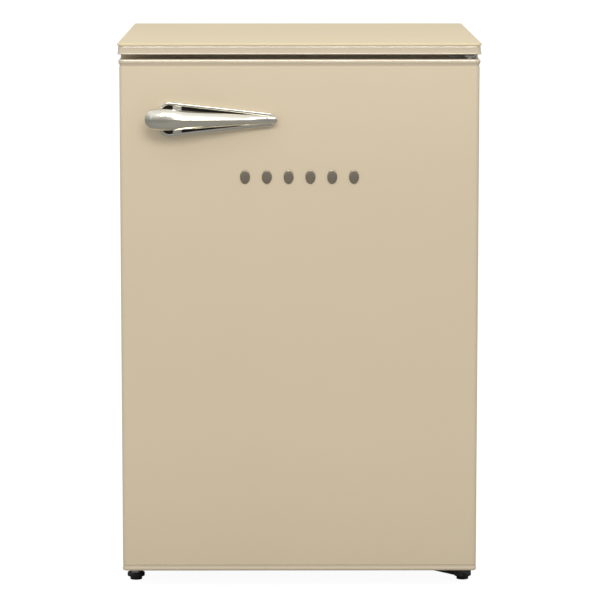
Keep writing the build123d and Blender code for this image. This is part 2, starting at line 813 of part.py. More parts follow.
def lamp_cover():
    """The clear lens in the housing's window, bulging into the cabinet."""
    gap = 0.2
    y, z = (lamp_y[0] + gap, lamp_y[1] - gap), (lamp_z[0] + gap, lamp_z[1] - gap)
    lens = slab((housing_x - 3, housing_x + 2), y, z, 3, Axis.X)
    hollow = slab((housing_x - 1.4, housing_x + 3), (y[0] + 1.6, y[1] - 1.6), (z[0] + 1.6, z[1] - 1.6), 2,
                  Axis.X)
    return lens - hollow


def lamp_bulb():
    """The small bulb in its cap, standing on the housing's rear wall."""
    z = (lamp_z[0] + lamp_z[1]) / 2
    x = housing_x + 16
    end = housing_y[1] - 2.0
    cap = rod((x, end - 14, z), (0, 1, 0), 6, 14)
    globe = rod((x, end - 46, z), (0, 1, 0), 9, 33)
    globe = fillet(globe.faces().sort_by(Axis.Y)[0].edges(), 8)
    globe = fillet(globe.faces().sort_by(Axis.Y)[-1].edges(), 2.5)
    return cap + globe


def thermostat_knob():
    """The dial: a round skirt with a bar grip across it and a shaft behind."""
    y0 = housing_y[0]
    skirt = rod((knob_x, y0 - 0.4, knob_z), (0, -1, 0), knob_radius, 5)
    skirt = fillet(skirt.faces().sort_by(Axis.Y)[0].edges(), 1.5)
    grip = slab((knob_x - 4, knob_x + 4), (y0 - 16, y0 - 5),
                (knob_z - knob_radius + 3, knob_z + knob_radius - 3),
                2.5, Axis.Y)
    shaft = rod((knob_x, y0 - 2, knob_z), (0, 1, 0), knob_shaft, 11)
    return skirt + grip + shaft


def switch_housing():
    """The body of the door switch on the right wall, bored for its plunger."""
    y0 = y_front - seal_gap + side_ridge_rise + plunger_out
    solid = slab((switch_x - 7, inner_half), (y0, y0 + 24), (switch_z - 12, switch_z + 12), 3, Axis.Y)
    return solid - rod((switch_x, y0 - 1, switch_z), (0, 1, 0), plunger_radius + running_clearance, 18)


def light_switch():
    """The plunger that the closed door's ridge holds in."""
    y0 = y_front - seal_gap + side_ridge_rise + seal_clearance
    plunger = rod((switch_x, y0, switch_z), (0, 1, 0), plunger_radius, 15)
    return fillet(plunger.faces().sort_by(Axis.Y)[0].edges(), 1.2)


# ---- door ----------------------------------------------------------------------------------------

def door_plan(grow, back, low, high):
    """The door's outline with rounded front edges, grown by an overhang."""
    half = cabinet_half + grow
    solid = block((-half, half), (y_door - grow, back), (low, high))
    front = solid.edges().filter_by(Axis.Z).sort_by(Axis.Y)[:2]
    return fillet(front, door_corner + grow)


def door_outer_panel():
    """The painted steel pan: front and folded sides."""
    back = y_door_back - door_liner_wall
    pan = door_plan(0, back, panel_low, panel_high)
    inner = block((-cabinet_half + sheet, cabinet_half - sheet), (y_door + sheet, back + 1),
                  (panel_low - 1, panel_high + 1))
    front = inner.edges().filter_by(Axis.Z).sort_by(Axis.Y)[:2]
    return pan - fillet(front, door_corner - sheet)


def cap(low, high, bead_low):
    """A moulded end cap: a proud moulding and a bead that is flush with the pan."""
    back = y_door_back - door_liner_wall
    top_side = bead_low <= low
    bead = door_plan(0, back, bead_low, bead_low + cap_bead)
    body_low, body_high = (low + cap_bead, high) if top_side else (low, high - cap_bead)
    body = door_plan(cap_overhang, back, body_low, body_high)
    outer = body.faces().sort_by(Axis.Z)[-1 if top_side else 0].edges()
    body = fillet(outer.filter_by(lambda edge: edge.center().Y < back - 1), 2.6)
    bore = rod((hinge_x, hinge_y, low - 1), (0, 0, 1), bush_radius, high - low + 2)
    return body + bead - bore


def door_top_cap():
    return cap(panel_high, door_top, panel_high)


def door_bottom_cap():
    return cap(door_bottom, panel_low, panel_low - cap_bead)


def hinge_bushes():
    """The nylon bushes that run on the hinge pins, one in each cap."""
    bushes = []
    for low in (door_bottom, door_top - bush_length):
        bush = rod((hinge_x, hinge_y, low), (0, 0, 1), bush_radius, bush_length)
        bushes.append(bush - rod((hinge_x, hinge_y, low - 1), (0, 0, 1), pin_radius + running_clearance, 40))
    return Compound([solid for each in bushes for solid in each.solids()])


def ridges(inset, start):
    """The raised frame on the door's liner: two tall upright ridges and two lower cross ridges."""
    outer = ridge_inner + ridge_width - inset
    low, high = ridge_low + inset, ridge_high - inset
    side_top = y_door_back + side_ridge_rise - inset
    end_top = y_door_back + end_ridge_rise - inset
    upright = slab((ridge_inner + inset, outer), (start, side_top), (low, high), 6 - inset, Axis.Y)
    cross = block((-outer, outer), (start, end_top), (low, low + ridge_width - 2 * inset))
    cross += block((-outer, outer), (start, end_top), (high - ridge_width + 2 * inset, high))
    return upright + mirrored(upright) + cross


def door_lugs():
    """The lugs on the ridges that the balconies hang on."""
    solids = None
    for floor, height in zip(balcony_floors, balcony_heights):
        top = hook_level(floor, height)
        lug = block((ridge_inner - balcony_side_gap + 0.4, ridge_inner + 0.5),
                    (lug_y, lug_y + lug_depth), (top - lug_height, top))
        both = lug + mirrored(lug)
        solids = both if solids is None else solids + both
    return solids


def door_liner():
    """The moulded inner face of the door, with its ridges and balcony lugs."""
    back = y_door_back - door_liner_wall
    half = cabinet_half - 1.5
    flange = block((-half, half), (back, y_door_back), (door_bottom + 1.5, door_top - 1.5))
    shell = flange + ridges(0, back) - ridges(door_liner_wall, back - 1)
    return shell + door_lugs()


def door_foam():
    """The foam that fills the pan and the ridges."""
    back = y_door_back - door_liner_wall
    solid = block((-cabinet_half + sheet, cabinet_half - sheet), (y_door + sheet, back),
                  (panel_low, panel_high))
    front = solid.edges().filter_by(Axis.Z).sort_by(Axis.Y)[:2]
    solid = fillet(front, door_corner - sheet) + ridges(door_liner_wall, back - 1)
    return solid - rod((hinge_x, hinge_y, door_bottom), (0, 0, 1), bush_radius, bush_length) \
        - rod((hinge_x, hinge_y, door_top - bush_length), (0, 0, 1), bush_radius, bush_length)


def door_gasket():
    """The magnetic seal around the door's liner."""
    y = (y_door_back, y_front - seal_clearance)
    outer = slab((-gasket_outer, gasket_outer), y, (gasket_low, gasket_high), 6, Axis.Y)
    inner = slab((-gasket_outer + gasket_width, gasket_outer - gasket_width), (y[0] - 1, y[1] + 1),
                 (gasket_low + gasket_width, gasket_high - gasket_width), 3, Axis.Y)
    return outer - inner


def hook_level(floor, height):
    """The height at which a balcony's hooks rest on their lugs."""
    return floor + height - 14


def door_balcony(floor, height):
    """An open bin that hangs between the ridges on a hook at each end."""
    half = ridge_inner - balcony_side_gap
    y = (y_door_back + balcony_back_gap, y_door_back + balcony_back_gap + balcony_depth)
    wall = balcony_wall
    body = block((-half, half), y, (floor, floor + height))
    body = fillet(body.edges().filter_by(Axis.Z).sort_by(Axis.Y)[-2:], 16)
    hollow = block((-half + wall, half - wall), (y[0] + wall, y[1] - wall),
                   (floor + wall, floor + height + 1))
    hollow = fillet(hollow.edges().filter_by(Axis.Z).sort_by(Axis.Y)[-2:], 16 - wall)
    level = hook_level(floor, height)
    hook = block((half - 0.5, ridge_inner - 0.5), (lug_y - 2, lug_y + lug_depth + 2),
                 (level, level + hook_thickness))
    return body - hollow + hook + mirrored(hook)


# ---- handle and badge ----------------------------------------------------------------------------

def on_door(points):
    """A filled outline of (x, z) points on the door's face, x counted from the lever's outer end."""
    return [(handle_x + x, handle_z + z) for x, z in points]


def taper(start, end, start_width, end_width, start_corner, end_corner):
    """A tapered outline on the door's face, rounded more at its wide end."""
    points = [(start, -start_width / 2), (end, -end_width / 2), (end, end_width / 2),
              (start, start_width / 2)]
    face = make_face(Polyline(*on_door(points), close=True))
    face = fillet(face.vertices().sort_by(Axis.X)[:2], start_corner)
    return fillet(face.vertices().sort_by(Axis.X)[-2:], end_corner)


def raised(face, low, high):
    """An outline on the door's face, drawn out between two heights above it."""
    return Pos(0, y_door - low, 0) * extrude(Plane.XZ * face, high - low, dir=(0, -1, 0))


def handle_base():
    """The chromed plate under the lever: tapered, hollowed between two rails, with the lever's post."""
    start, end = plate_start, plate_start + plate_length
    plate = raised(taper(start, end, plate_wide, plate_narrow, plate_corner, 6), 0, plate_thickness)
    plate = fillet(plate.faces().sort_by(Axis.Y)[0].edges(), 1.5)
    rail = 2 * plate_rail
    pocket_end = end - pocket_stop
    slope = (plate_wide - plate_narrow) / plate_length
    outline = taper(start + plate_rail, pocket_end, plate_wide - rail,
                    plate_narrow - rail + slope * pocket_stop,
                    plate_corner - plate_rail, 3)
    pocket = raised(outline, plate_floor, plate_thickness + 1)
    post = block((handle_x + post_start, handle_x + post_start + post_length),
                 (y_door - plate_thickness - 1, y_door), (handle_z - plate_wide, handle_z + plate_wide))
    plate = plate - (pocket - post)
    neck = slab((handle_x + post_start, handle_x + post_start + post_length),
                (y_door - lever_grip - 2, y_door - plate_thickness + 1),
                (handle_z - lever_end_width / 2, handle_z + lever_end_width / 2), 3, Axis.Y)
    return plate + neck - handle_bar()


def lever_side():
    """The lever seen along its width: a bulb hooked towards the door, then a long fall to the tip."""
    def at(x, rise):
        return (handle_x + x, y_door - rise)

    crest = lever_bulb
    tip_rise = plate_thickness + 6
    nose = Spline(at(0, handle_reach - 15), at(crest, handle_reach), tangents=((0, -1), (1, 0)))
    fall = Spline(at(crest, handle_reach), at(lever_length - 6, tip_rise), tangents=((1, 0), (1, 0.16)))
    tip = Polyline(fall @ 1, at(lever_length, tip_rise - 5), at(lever_length, plate_thickness),
                   at(lever_length - lever_seat, plate_thickness))
    under = Spline(tip @ 1, at(60, lever_grip - 1), at(crest + 14, lever_grip), tangents=((-1, 0), (-1, 0)))
    hook = Spline(under @ 1, at(4, handle_reach - 24), tangents=((-1, 0), (-0.8, 0.6)))
    heel = Line(hook @ 1, nose @ 0)
    return extrude(make_face([nose, fall, tip, under, hook, heel]), 2 * lever_wide, dir=(0, 0, 1))


def lever_plan():
    """The lever seen from the front: rounded at the bulb and tapering to its tip."""
    curves = []
    for side in (1, -1):
        start, widest, tip = on_door([(0, side * lever_end_width / 2), (lever_bulb, side * lever_wide / 2),
                                      (lever_length, side * lever_tip_width / 2)])
        curves.append(Spline(start, widest, tangents=((0.5, side), (1, 0))))
        curves.append(Spline(widest, tip, tangents=((1, -side * 0.06), (1, -side * 0.03))))
    ends = [Line(curves[0] @ 0, curves[2] @ 0), Line(curves[1] @ 1, curves[3] @ 1)]
    return raised(make_face(curves + ends), 0, handle_reach + 5)


def handle_bar():
    """The lever, with the long edges of its crest rounded."""
    lever = Pos(0, 0, handle_z - lever_wide) * lever_side() & lever_plan()
    front = [edge for edge in lever.edges() if edge.center().Y < y_door - plate_thickness - 8]
    long = [edge for edge in front
            if edge.length > 60 and edge.bounding_box().max.Y < y_door - plate_thickness - 5]
    return fillet(long, 2.5)


def badge_studs():
    """A row of plain oval studs where a name would be."""
    studs = []
    for number in range(stud_count):
        x = (number - (stud_count - 1) / 2) * stud_pitch
        face = Pos(x, badge_z) * Ellipse(badge_width / 2, badge_height / 2)
        stud = raised(face, 0, badge_rise)
        studs.append(fillet(stud.faces().sort_by(Axis.Y)[0].edges(), 1.0))
    return Compound([solid for each in studs for solid in each.solids()])


# ---- the pieces ----------------------------------------------------------------------------------

pieces = {
    "side_panel_right": side_panel,
    "side_panel_left": lambda: mirrored(side_panel()),
    "top_panel": top_panel,
    "rear_panel": rear_panel,
    "base_panel": base_panel,
    "front_rails": front_rails,
    "cabinet_foam": cabinet_foam,
    "cabinet_liner": cabinet_liner,
    "worktop_panel": worktop_panel,
    "worktop_frame": worktop_frame,
    "upper_hinge_bracket": upper_hinge_bracket,
    "lower_hinge_bracket": lower_hinge_bracket,
    "left_foot_plate": left_foot_plate,
    "hinge_pins": hinge_pins,
    "cabinet_screws": cabinet_screws,
    "rear_feet": rear_feet,
    "foot_pad_right": foot_pad,
    "foot_pad_left": lambda: mirrored(foot_pad()),
    "foot_stud_right": foot_stud,
    "foot_stud_left": lambda: mirrored(foot_stud()),
    "compressor_plate": compressor_plate,
    "compressor": compressor,
    "compressor_grommets": compressor_grommets,
    "relay_cover": relay_cover,
    "cord_grommet": cord_grommet,
    "evaporation_tray": evaporation_tray,
    "drain_tube": drain_tube,
    "condenser_tube": condenser_tube,
    "condenser_wires": condenser_wires,
    "condenser_brackets": condenser_brackets,
    "refrigerant_pipes": refrigerant_pipes,
    "filter_drier": filter_drier,
    "evaporator": evaporator,
    "icebox_frame": icebox_frame,
    "icebox_flap": icebox_flap,
    "upper_shelf_glass": lambda: shelf_glass(shelf_levels[1]),
    "upper_shelf_trim": lambda: shelf_trim(shelf_levels[1]),
    "lower_shelf_glass": lambda: shelf_glass(shelf_levels[0]),
    "lower_shelf_trim": lambda: shelf_trim(shelf_levels[0]),
    "crisper_cover": crisper_cover,
    "crisper_drawer": crisper_drawer,
    "thermostat_housing": thermostat_housing,
    "thermostat_knob": thermostat_knob,
    "lamp_cover": lamp_cover,
    "lamp_bulb": lamp_bulb,
    "switch_housing": switch_housing,
    "light_switch": light_switch,
    "door_outer_panel": door_outer_panel,
    "door_top_cap": door_top_cap,
    "door_bottom_cap": door_bottom_cap,
    "door_foam": door_foam,
    "door_liner": door_liner,
    "door_gasket": door_gasket,
    "hinge_bushes": hinge_bushes,
    "bottle_balcony": lambda: door_balcony(balcony_floors[0], balcony_heights[0]),
    "middle_balcony": lambda: door_balcony(balcony_floors[1], balcony_heights[1]),
    "top_balcony": lambda: door_balcony(balcony_floors[2], balcony_heights[2]),
    "handle_base": handle_base,
    "handle_bar": handle_bar,
    "badge_studs": badge_studs,
}

os.makedirs("parts", exist_ok=True)
for name, build in pieces.items():
    export_step(build(), f"parts/{name}.step")
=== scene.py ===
"""Retro mini fridge: the finishes and the moulded and pressed forms around its CAD frame.

Metres, in the frame's own axes: the front faces -Y, +X is to the right seen from the front, +Z is up.
"""

import json
import math

import bpy
import numpy as np
from bpy.props import FloatProperty, FloatVectorProperty, IntProperty, PointerProperty
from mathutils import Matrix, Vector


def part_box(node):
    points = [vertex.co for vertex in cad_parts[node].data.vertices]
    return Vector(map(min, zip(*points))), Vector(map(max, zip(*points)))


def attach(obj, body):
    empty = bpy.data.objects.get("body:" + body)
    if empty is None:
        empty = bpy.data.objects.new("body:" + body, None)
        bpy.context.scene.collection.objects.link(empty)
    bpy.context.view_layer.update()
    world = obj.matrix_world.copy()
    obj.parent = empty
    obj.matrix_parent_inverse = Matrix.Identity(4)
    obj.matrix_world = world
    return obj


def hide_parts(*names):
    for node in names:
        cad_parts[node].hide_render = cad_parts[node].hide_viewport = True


bl_info = {
    "name": "Retro mini fridge",
    "version": (1, 0, 0),
    "blender": (4, 5, 0),
    "location": "View3D > Sidebar > Fridge",
    "description": "Builds a retro under-counter refrigerator around its CAD frame",
    "category": "Object",
}

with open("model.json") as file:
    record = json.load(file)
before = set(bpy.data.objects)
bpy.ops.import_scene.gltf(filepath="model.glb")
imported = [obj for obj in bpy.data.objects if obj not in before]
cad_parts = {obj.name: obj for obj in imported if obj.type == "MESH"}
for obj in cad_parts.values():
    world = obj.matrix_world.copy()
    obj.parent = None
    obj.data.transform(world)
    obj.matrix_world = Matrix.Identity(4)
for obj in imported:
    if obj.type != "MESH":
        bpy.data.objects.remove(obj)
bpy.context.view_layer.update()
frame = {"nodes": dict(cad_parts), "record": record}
NODES = frame["nodes"]
NODE_SLOTS = {part["node"]: part["material_slot"] for part in frame["record"]["subparts"]}
MM = 0.001

# The frame's own places, in metres
DOOR_LOW, DOOR_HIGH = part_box("door_outer_panel")
TOP_LOW, TOP_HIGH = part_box("worktop_panel")
FRAME_LOW, FRAME_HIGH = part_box("worktop_frame")
REAR_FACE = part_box("rear_panel")[1].y

# Radii of corners seen from above: the worktop and its fascia, and the door's rear edges
WORKTOP_CORNER, DOOR_BACK_CORNER = 9 * MM, 0.5 * MM

UP = np.array([(1, 0, 0), (0, 1, 0), (0, 0, 1)], float)
DOWN = np.array([(1, 0, 0), (0, -1, 0), (0, 0, -1)], float)
FRONT = np.array([(1, 0, 0), (0, 0, 1), (0, -1, 0)], float)
BACK = np.array([(-1, 0, 0), (0, 0, 1), (0, 1, 0)], float)


def srgb(red, green, blue):
    """A screen colour of 0 to 255 as linear light: ((c / 255 + 0.055) / 1.055) to the power 2.4."""
    return tuple(((part / 255 + 0.055) / 1.055) ** 2.4 for part in (red, green, blue))


# ---- surfaces ----------------------------------------------------------------------------------

def rounded_outline(corners, radii, inset, steps):
    """A convex outline with round corners, drawn in by an inset.

    Each side moves inwards by the inset. A corner is the arc of radius (radius - inset) that touches
    both of its sides, sampled at equal angles, so every inset has the same number of points.
    """
    corners = np.asarray(corners, float)
    radii = np.broadcast_to(np.asarray(radii, float), len(corners))
    along = np.roll(corners, -1, axis=0) - corners
    along /= np.linalg.norm(along, axis=1, keepdims=True)
    inward = np.stack([-along[:, 1], along[:, 0]], axis=1)
    before = np.roll(inward, 1, axis=0)
    diagonal = (before + inward) / (1 + (before * inward).sum(axis=1, keepdims=True))
    radius = np.maximum(radii - inset, 0.02 * MM)[:, None]
    centre = corners + diagonal * (inset + radius)
    start = np.arctan2(-before[:, 1], -before[:, 0])[:, None]
    turn = np.mod(np.arctan2(-inward[:, 1], -inward[:, 0])[:, None] - start, 2 * math.pi)
    angle = start + turn * np.linspace(0, 1, steps + 1)
    points = centre[:, None, :] + radius[:, :, None] * np.stack([np.cos(angle), np.sin(angle)], axis=2)
    return points.reshape(-1, 2)


def box_corners(x, y):
    """The four corners of a rectangle, counterclockwise."""
    return [(x[0], y[0]), (x[1], y[0]), (x[1], y[1]), (x[0], y[1])]


def arc(centre, radius, start, end, steps=6):
    """Points (inset, height) on an arc: centre + radius * (cos a, sin a), with a in degrees."""
    angle = np.radians(np.linspace(start, end, steps + 1))
    return [(centre[0] + radius * across, centre[1] + radius * up)
            for across, up in zip(np.cos(angle), np.sin(angle))]


def mesh_object(name, vertices, faces, sharp=40.0):
    """A smooth-shaded mesh object whose edges over an angle in degrees stay sharp."""
    mesh = bpy.data.meshes.new(name)
    mesh.from_pydata(vertices, [], faces)
    mesh.polygons.foreach_set("use_smooth", np.ones(len(mesh.polygons), bool))
    mesh.set_sharp_from_angle(angle=math.radians(sharp))
    mesh.update()
    piece = bpy.data.objects.new(name, mesh)
    bpy.context.scene.collection.objects.link(piece)
    return piece


def grid_faces(rows, columns, close_rows, close_columns, offset=0):
    """The quads of a grid of points, closed on itself along rows or columns where asked."""
    i = np.arange(rows if close_rows else rows - 1)[:, None]
    j = np.arange(columns if close_columns else columns - 1)[None, :]
    i2, j2 = (i + 1) % rows, (j + 1) % columns
    quads = np.stack([i * columns + j, i * columns + j2, i2 * columns + j2, i2 * columns + j], axis=-1)
    return (quads.reshape(-1, 4) + offset).tolist()


def surface(name, patches, sharp=40.0):
    """One object from patches of (points, close_rows, close_columns, caps).

    Points is a grid of rows x columns x 3. Caps closes the first and the last row with a flat face.
    """
    vertices, faces, offset = [], [], 0
    for points, close_rows, close_columns, caps in patches:
        rows, columns = points.shape[:2]
        vertices.append(points.reshape(-1, 3))
        faces += grid_faces(rows, columns, close_rows, close_columns, offset)
        if caps:
            first = np.arange(columns)[::-1] + offset
            last = np.arange(columns) + (rows - 1) * columns + offset
            faces += [first.tolist(), last.tolist()]
        offset += rows * columns
    return mesh_object(name, np.concatenate(vertices).tolist(), faces, sharp)


def carried(corners, radii, profile, axes=UP, steps=6):
    """A grid: a rounded outline carried along a profile of (inset, height) points.

    Point = outline(inset) . (first axis, second axis) + height . third axis.
    """
    rings = [np.column_stack([rounded_outline(corners, radii, inset, steps),
                              np.full((steps + 1) * len(corners), height)]) for inset, height in profile]
    return np.stack(rings) @ axes


# ---- finishes ----------------------------------------------------------------------------------

def noise(tree, scale, stretch=(1, 1, 1), detail=3.0):
    """Noise on the piece's own coordinates, stretched along the axes."""
    place = tree.nodes.new("ShaderNodeTexCoord")
    mapping = tree.nodes.new("ShaderNodeMapping")
    mapping.inputs["Scale"].default_value = stretch
    texture = tree.nodes.new("ShaderNodeTexNoise")
    texture.inputs["Scale"].default_value = scale
    texture.inputs["Detail"].default_value = detail
    tree.links.new(place.outputs["Object"], mapping.inputs["Vector"])
    tree.links.new(mapping.outputs["Vector"], texture.inputs["Vector"])
    return texture


def ranged(tree, source, low, high, start=0.3, end=0.7):
    """A texture's value, spread from one range to another."""
    node = tree.nodes.new("ShaderNodeMapRange")
    for name, value in zip(("From Min", "From Max", "To Min", "To Max"), (start, end, low, high)):
        node.inputs[name].default_value = value
    tree.links.new(source, node.inputs["Value"])
    return node.outputs["Result"]


def made_once(build):
    """Makes a finish when its name is first asked for, and hands the same one back after that."""
    def found_or_made(name, *values, **named):
        return bpy.data.materials.get(name) or build(name, *values, **named)
    return found_or_made


@made_once
def finish(name, colour, roughness, metallic=0.0, mottle=(4.0, 0.03), grain=(300.0, 0.02),
           gloss=(12.0, 0.03), stretch=(1, 1, 1), **sockets):
    """A procedural finish.

    Mottle is the scale and strength of colour variation, gloss the same for roughness, and grain the
    scale of the surface's relief and its depth in millimetres. Stretch draws the grain out.
    """
    material = bpy.data.materials.new(name)
    material.use_nodes = True
    tree = material.node_tree
    shader = tree.nodes["Principled BSDF"]
    shader.inputs["Metallic"].default_value = metallic
    for socket, value in sockets.items():
        shader.inputs[socket.replace("_", " ")].default_value = value

    mix = tree.nodes.new("ShaderNodeMix")
    mix.data_type = "RGBA"
    colour = np.array(colour[:3])
    mix.inputs["A"].default_value = (*np.clip(colour * (1 - mottle[1]), 0, 1), 1)
    mix.inputs["B"].default_value = (*np.clip(colour * (1 + mottle[1]), 0, 1), 1)
    field = noise(tree, mottle[0], stretch)
    tree.links.new(ranged(tree, field.outputs["Fac"], 0, 1), mix.inputs["Factor"])
    tree.links.new(mix.outputs["Result"], shader.inputs["Base Color"])

    sheen = noise(tree, gloss[0], stretch)
    low, high = max(roughness - gloss[1], 0.02), min(roughness + gloss[1], 1)
    tree.links.new(ranged(tree, sheen.outputs["Fac"], low, high), shader.inputs["Roughness"])

    relief = noise(tree, grain[0], stretch, 2.0)
    bump = tree.nodes.new("ShaderNodeBump")
    bump.inputs["Distance"].default_value = grain[1] * MM
    tree.links.new(relief.outputs["Fac"], bump.inputs["Height"])
    tree.links.new(bump.outputs["Normal"], shader.inputs["Normal"])
    return material


@made_once
def spangled(name, colour):
    """Zinc-coated sheet: crystals of slightly different grey and gloss."""
    crystals_per_metre = 150.0
    darker, lighter = 0.9, 1.08
    material = finish(name, colour, 0.42, metallic=0.3, grain=(120.0, 0.01))
    tree = material.node_tree
    shader = tree.nodes["Principled BSDF"]
    place = tree.nodes.new("ShaderNodeTexCoord")
    cells = tree.nodes.new("ShaderNodeTexVoronoi")
    cells.inputs["Scale"].default_value = crystals_per_metre
    tree.links.new(place.outputs["Object"], cells.inputs["Vector"])
    split = tree.nodes.new("ShaderNodeSeparateColor")
    tree.links.new(cells.outputs["Color"], split.inputs["Color"])
    mix = tree.nodes.new("ShaderNodeMix")
    mix.data_type = "RGBA"
    mix.inputs["A"].default_value = (*(np.array(colour) * darker), 1)
    mix.inputs["B"].default_value = (*np.clip(np.array(colour) * lighter, 0, 1), 1)
    tree.links.new(split.outputs["Red"], mix.inputs["Factor"])
    tree.links.new(mix.outputs["Result"], shader.inputs["Base Color"])
    tree.links.new(ranged(tree, split.outputs["Green"], 0.32, 0.52, 0, 1), shader.inputs["Roughness"])
    return material


@made_once
def roll_bond(name, colour):
    """Aluminium sheet with channels blown into it: a sine across the depth, cut down to narrow ridges."""
    channel_scale, channel_height = 9.0, 1.2 * MM
    material = finish(name, colour, 0.36, metallic=0.25, mottle=(30.0, 0.03), grain=(200.0, 0.02))
    tree = material.node_tree
    shader = tree.nodes["Principled BSDF"]
    under = shader.inputs["Normal"].links[0].from_socket
    place = tree.nodes.new("ShaderNodeTexCoord")
    wave = tree.nodes.new("ShaderNodeTexWave")
    wave.bands_direction = "Y"
    wave.inputs["Scale"].default_value = channel_scale
    tree.links.new(place.outputs["Object"], wave.inputs["Vector"])
    bump = tree.nodes.new("ShaderNodeBump")
    bump.inputs["Distance"].default_value = channel_height
    tree.links.new(ranged(tree, wave.outputs["Fac"], 0, 1, 0.6, 0.95), bump.inputs["Height"])
    tree.links.new(under, bump.inputs["Normal"])
    tree.links.new(bump.outputs["Normal"], shader.inputs["Normal"])
    return material


def painted():
    """Cream enamel under a thin clear coat."""
    look = bpy.context.scene.fridge_looks
    return finish("cream_enamel", look.paint, look.enamel_roughness, mottle=(3.0, 0.012),
                  grain=(420.0, 0.012), gloss=(9.0, 0.02), Coat_Weight=0.25, Coat_Roughness=0.12)


def worktop_paint():
    """Matt cream laminate."""
    look = bpy.context.scene.fridge_looks
    return finish("worktop_laminate", look.worktop, 0.5, mottle=(5.0, 0.01), grain=(600.0, 0.004),
                  gloss=(6.0, 0.02), Specular_IOR_Level=0.1)


def trim_plastic():
    """Glossy cream mouldings, which catch a bright line along their edges."""
    look = bpy.context.scene.fridge_looks
    return finish("cream_moulding", look.trim, 0.26, mottle=(8.0, 0.012), grain=(700.0, 0.006),
                  Coat_Weight=1.0, Coat_Roughness=0.09, Coat_IOR=2.4)


def chrome():
    """Warm, slightly satin chrome plating."""
    look = bpy.context.scene.fridge_looks
    return finish("chromed_casting", srgb(228, 224, 211), look.chrome_roughness, metallic=1.0,
                  mottle=(20.0, 0.01), grain=(60.0, 0.015), gloss=(30.0, 0.015))


def zinc_sheet():
    """Plain grey sheet for the rear and the machine room."""
    return spangled("zinc_coated_sheet", srgb(178, 181, 184))


def aluminium():
    """The icebox's own sheet."""
    return roll_bond("roll_bond_aluminium", srgb(232, 234, 236))


PLAIN_FINISHES = {
    "badge_metal": ("satin_badge_metal", (172, 162, 145), 0.32,
                    dict(metallic=1.0, stretch=(1, 1, 30), mottle=(200.0, 0.05), grain=(400.0, 0.01))),
    "plated_steel": ("zinc_plated_steel", (198, 198, 192), 0.3,
                     dict(metallic=0.7, mottle=(90.0, 0.06), grain=(500.0, 0.01))),
    "black_steel": ("black_stove_enamel", (24, 24, 25), 0.38,
                    dict(mottle=(30.0, 0.15), grain=(500.0, 0.03), Coat_Weight=0.3, Coat_Roughness=0.2)),
    "condenser_black": ("condenser_paint", (27, 27, 29), 0.45, dict(mottle=(60.0, 0.2), grain=(900.0, 0.03))),
    "foam": ("rigid_foam", (226, 205, 148), 0.9, dict(mottle=(150.0, 0.12), grain=(350.0, 0.3))),
    "liner_white": ("gloss_white_liner", (249, 250, 249), 0.22,
                    dict(mottle=(3.0, 0.01), grain=(35.0, 0.04), gloss=(10.0, 0.03))),
    "seal": ("soft_seal", (226, 224, 216), 0.62, dict(mottle=(40.0, 0.03), grain=(900.0, 0.02))),
    "black_rubber": ("black_rubber", (22, 22, 22), 0.7, dict(mottle=(80.0, 0.2), grain=(900.0, 0.05))),
    "black_plastic": ("black_moulding", (26, 26, 27), 0.5, dict(mottle=(60.0, 0.12), grain=(1200.0, 0.03))),
    "grey_plastic": ("grey_moulding", (186, 187, 186), 0.45, dict(mottle=(30.0, 0.03), grain=(1000.0, 0.02))),
    "copper": ("bare_copper", (196, 134, 104), 0.34,
               dict(metallic=1.0, mottle=(45.0, 0.22), grain=(300.0, 0.02), gloss=(60.0, 0.08))),
    "clear_glass": ("float_glass", (232, 246, 240), 0.03,
                    dict(mottle=(2.0, 0.01), grain=(4.0, 0.01), gloss=(20.0, 0.01),
                         Transmission_Weight=1.0, IOR=1.52, Alpha=0.25)),
    "clear_plastic": ("clear_polystyrene", (247, 250, 251), 0.06,
                      dict(mottle=(4.0, 0.01), grain=(60.0, 0.03), gloss=(30.0, 0.02),
                           Transmission_Weight=1.0, IOR=1.57, Alpha=0.28)),
    "bulb": ("frosted_bulb", (246, 242, 230), 0.35,
             dict(mottle=(60.0, 0.02), grain=(900.0, 0.02), Transmission_Weight=0.5)),
}
OWN_FINISHES = {
    "zinc_sheet": zinc_sheet,
    "aluminium": aluminium,
    "body_paint": painted,
    "worktop_paint": worktop_paint,
    "worktop_trim": trim_plastic,
    "cap_plastic": trim_plastic,
    "chrome": chrome,
}


def material_of(slot):
    """The finish of a material slot."""
    if slot in OWN_FINISHES:
        return OWN_FINISHES[slot]()
    name, colour, roughness, values = PLAIN_FINISHES[slot]
    return finish(name, srgb(*colour), roughness, **values)


def dress(*names):
    """Gives CAD nodes the finish of their own material slot."""
    for name in names:
        material = material_of(NODE_SLOTS[name])
        for holder in NODES[name].material_slots:
            holder.material = material


def seat(piece, body, slot, *replaced):
    """A finished piece: it rides a body, takes a slot's finish and stands for CAD nodes."""
    piece.data.materials.append(material_of(slot))
    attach(piece, body)
    if replaced:
        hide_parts(*replaced)
    return piece


# ---- pieces ------------------------------------------------------------------------------------

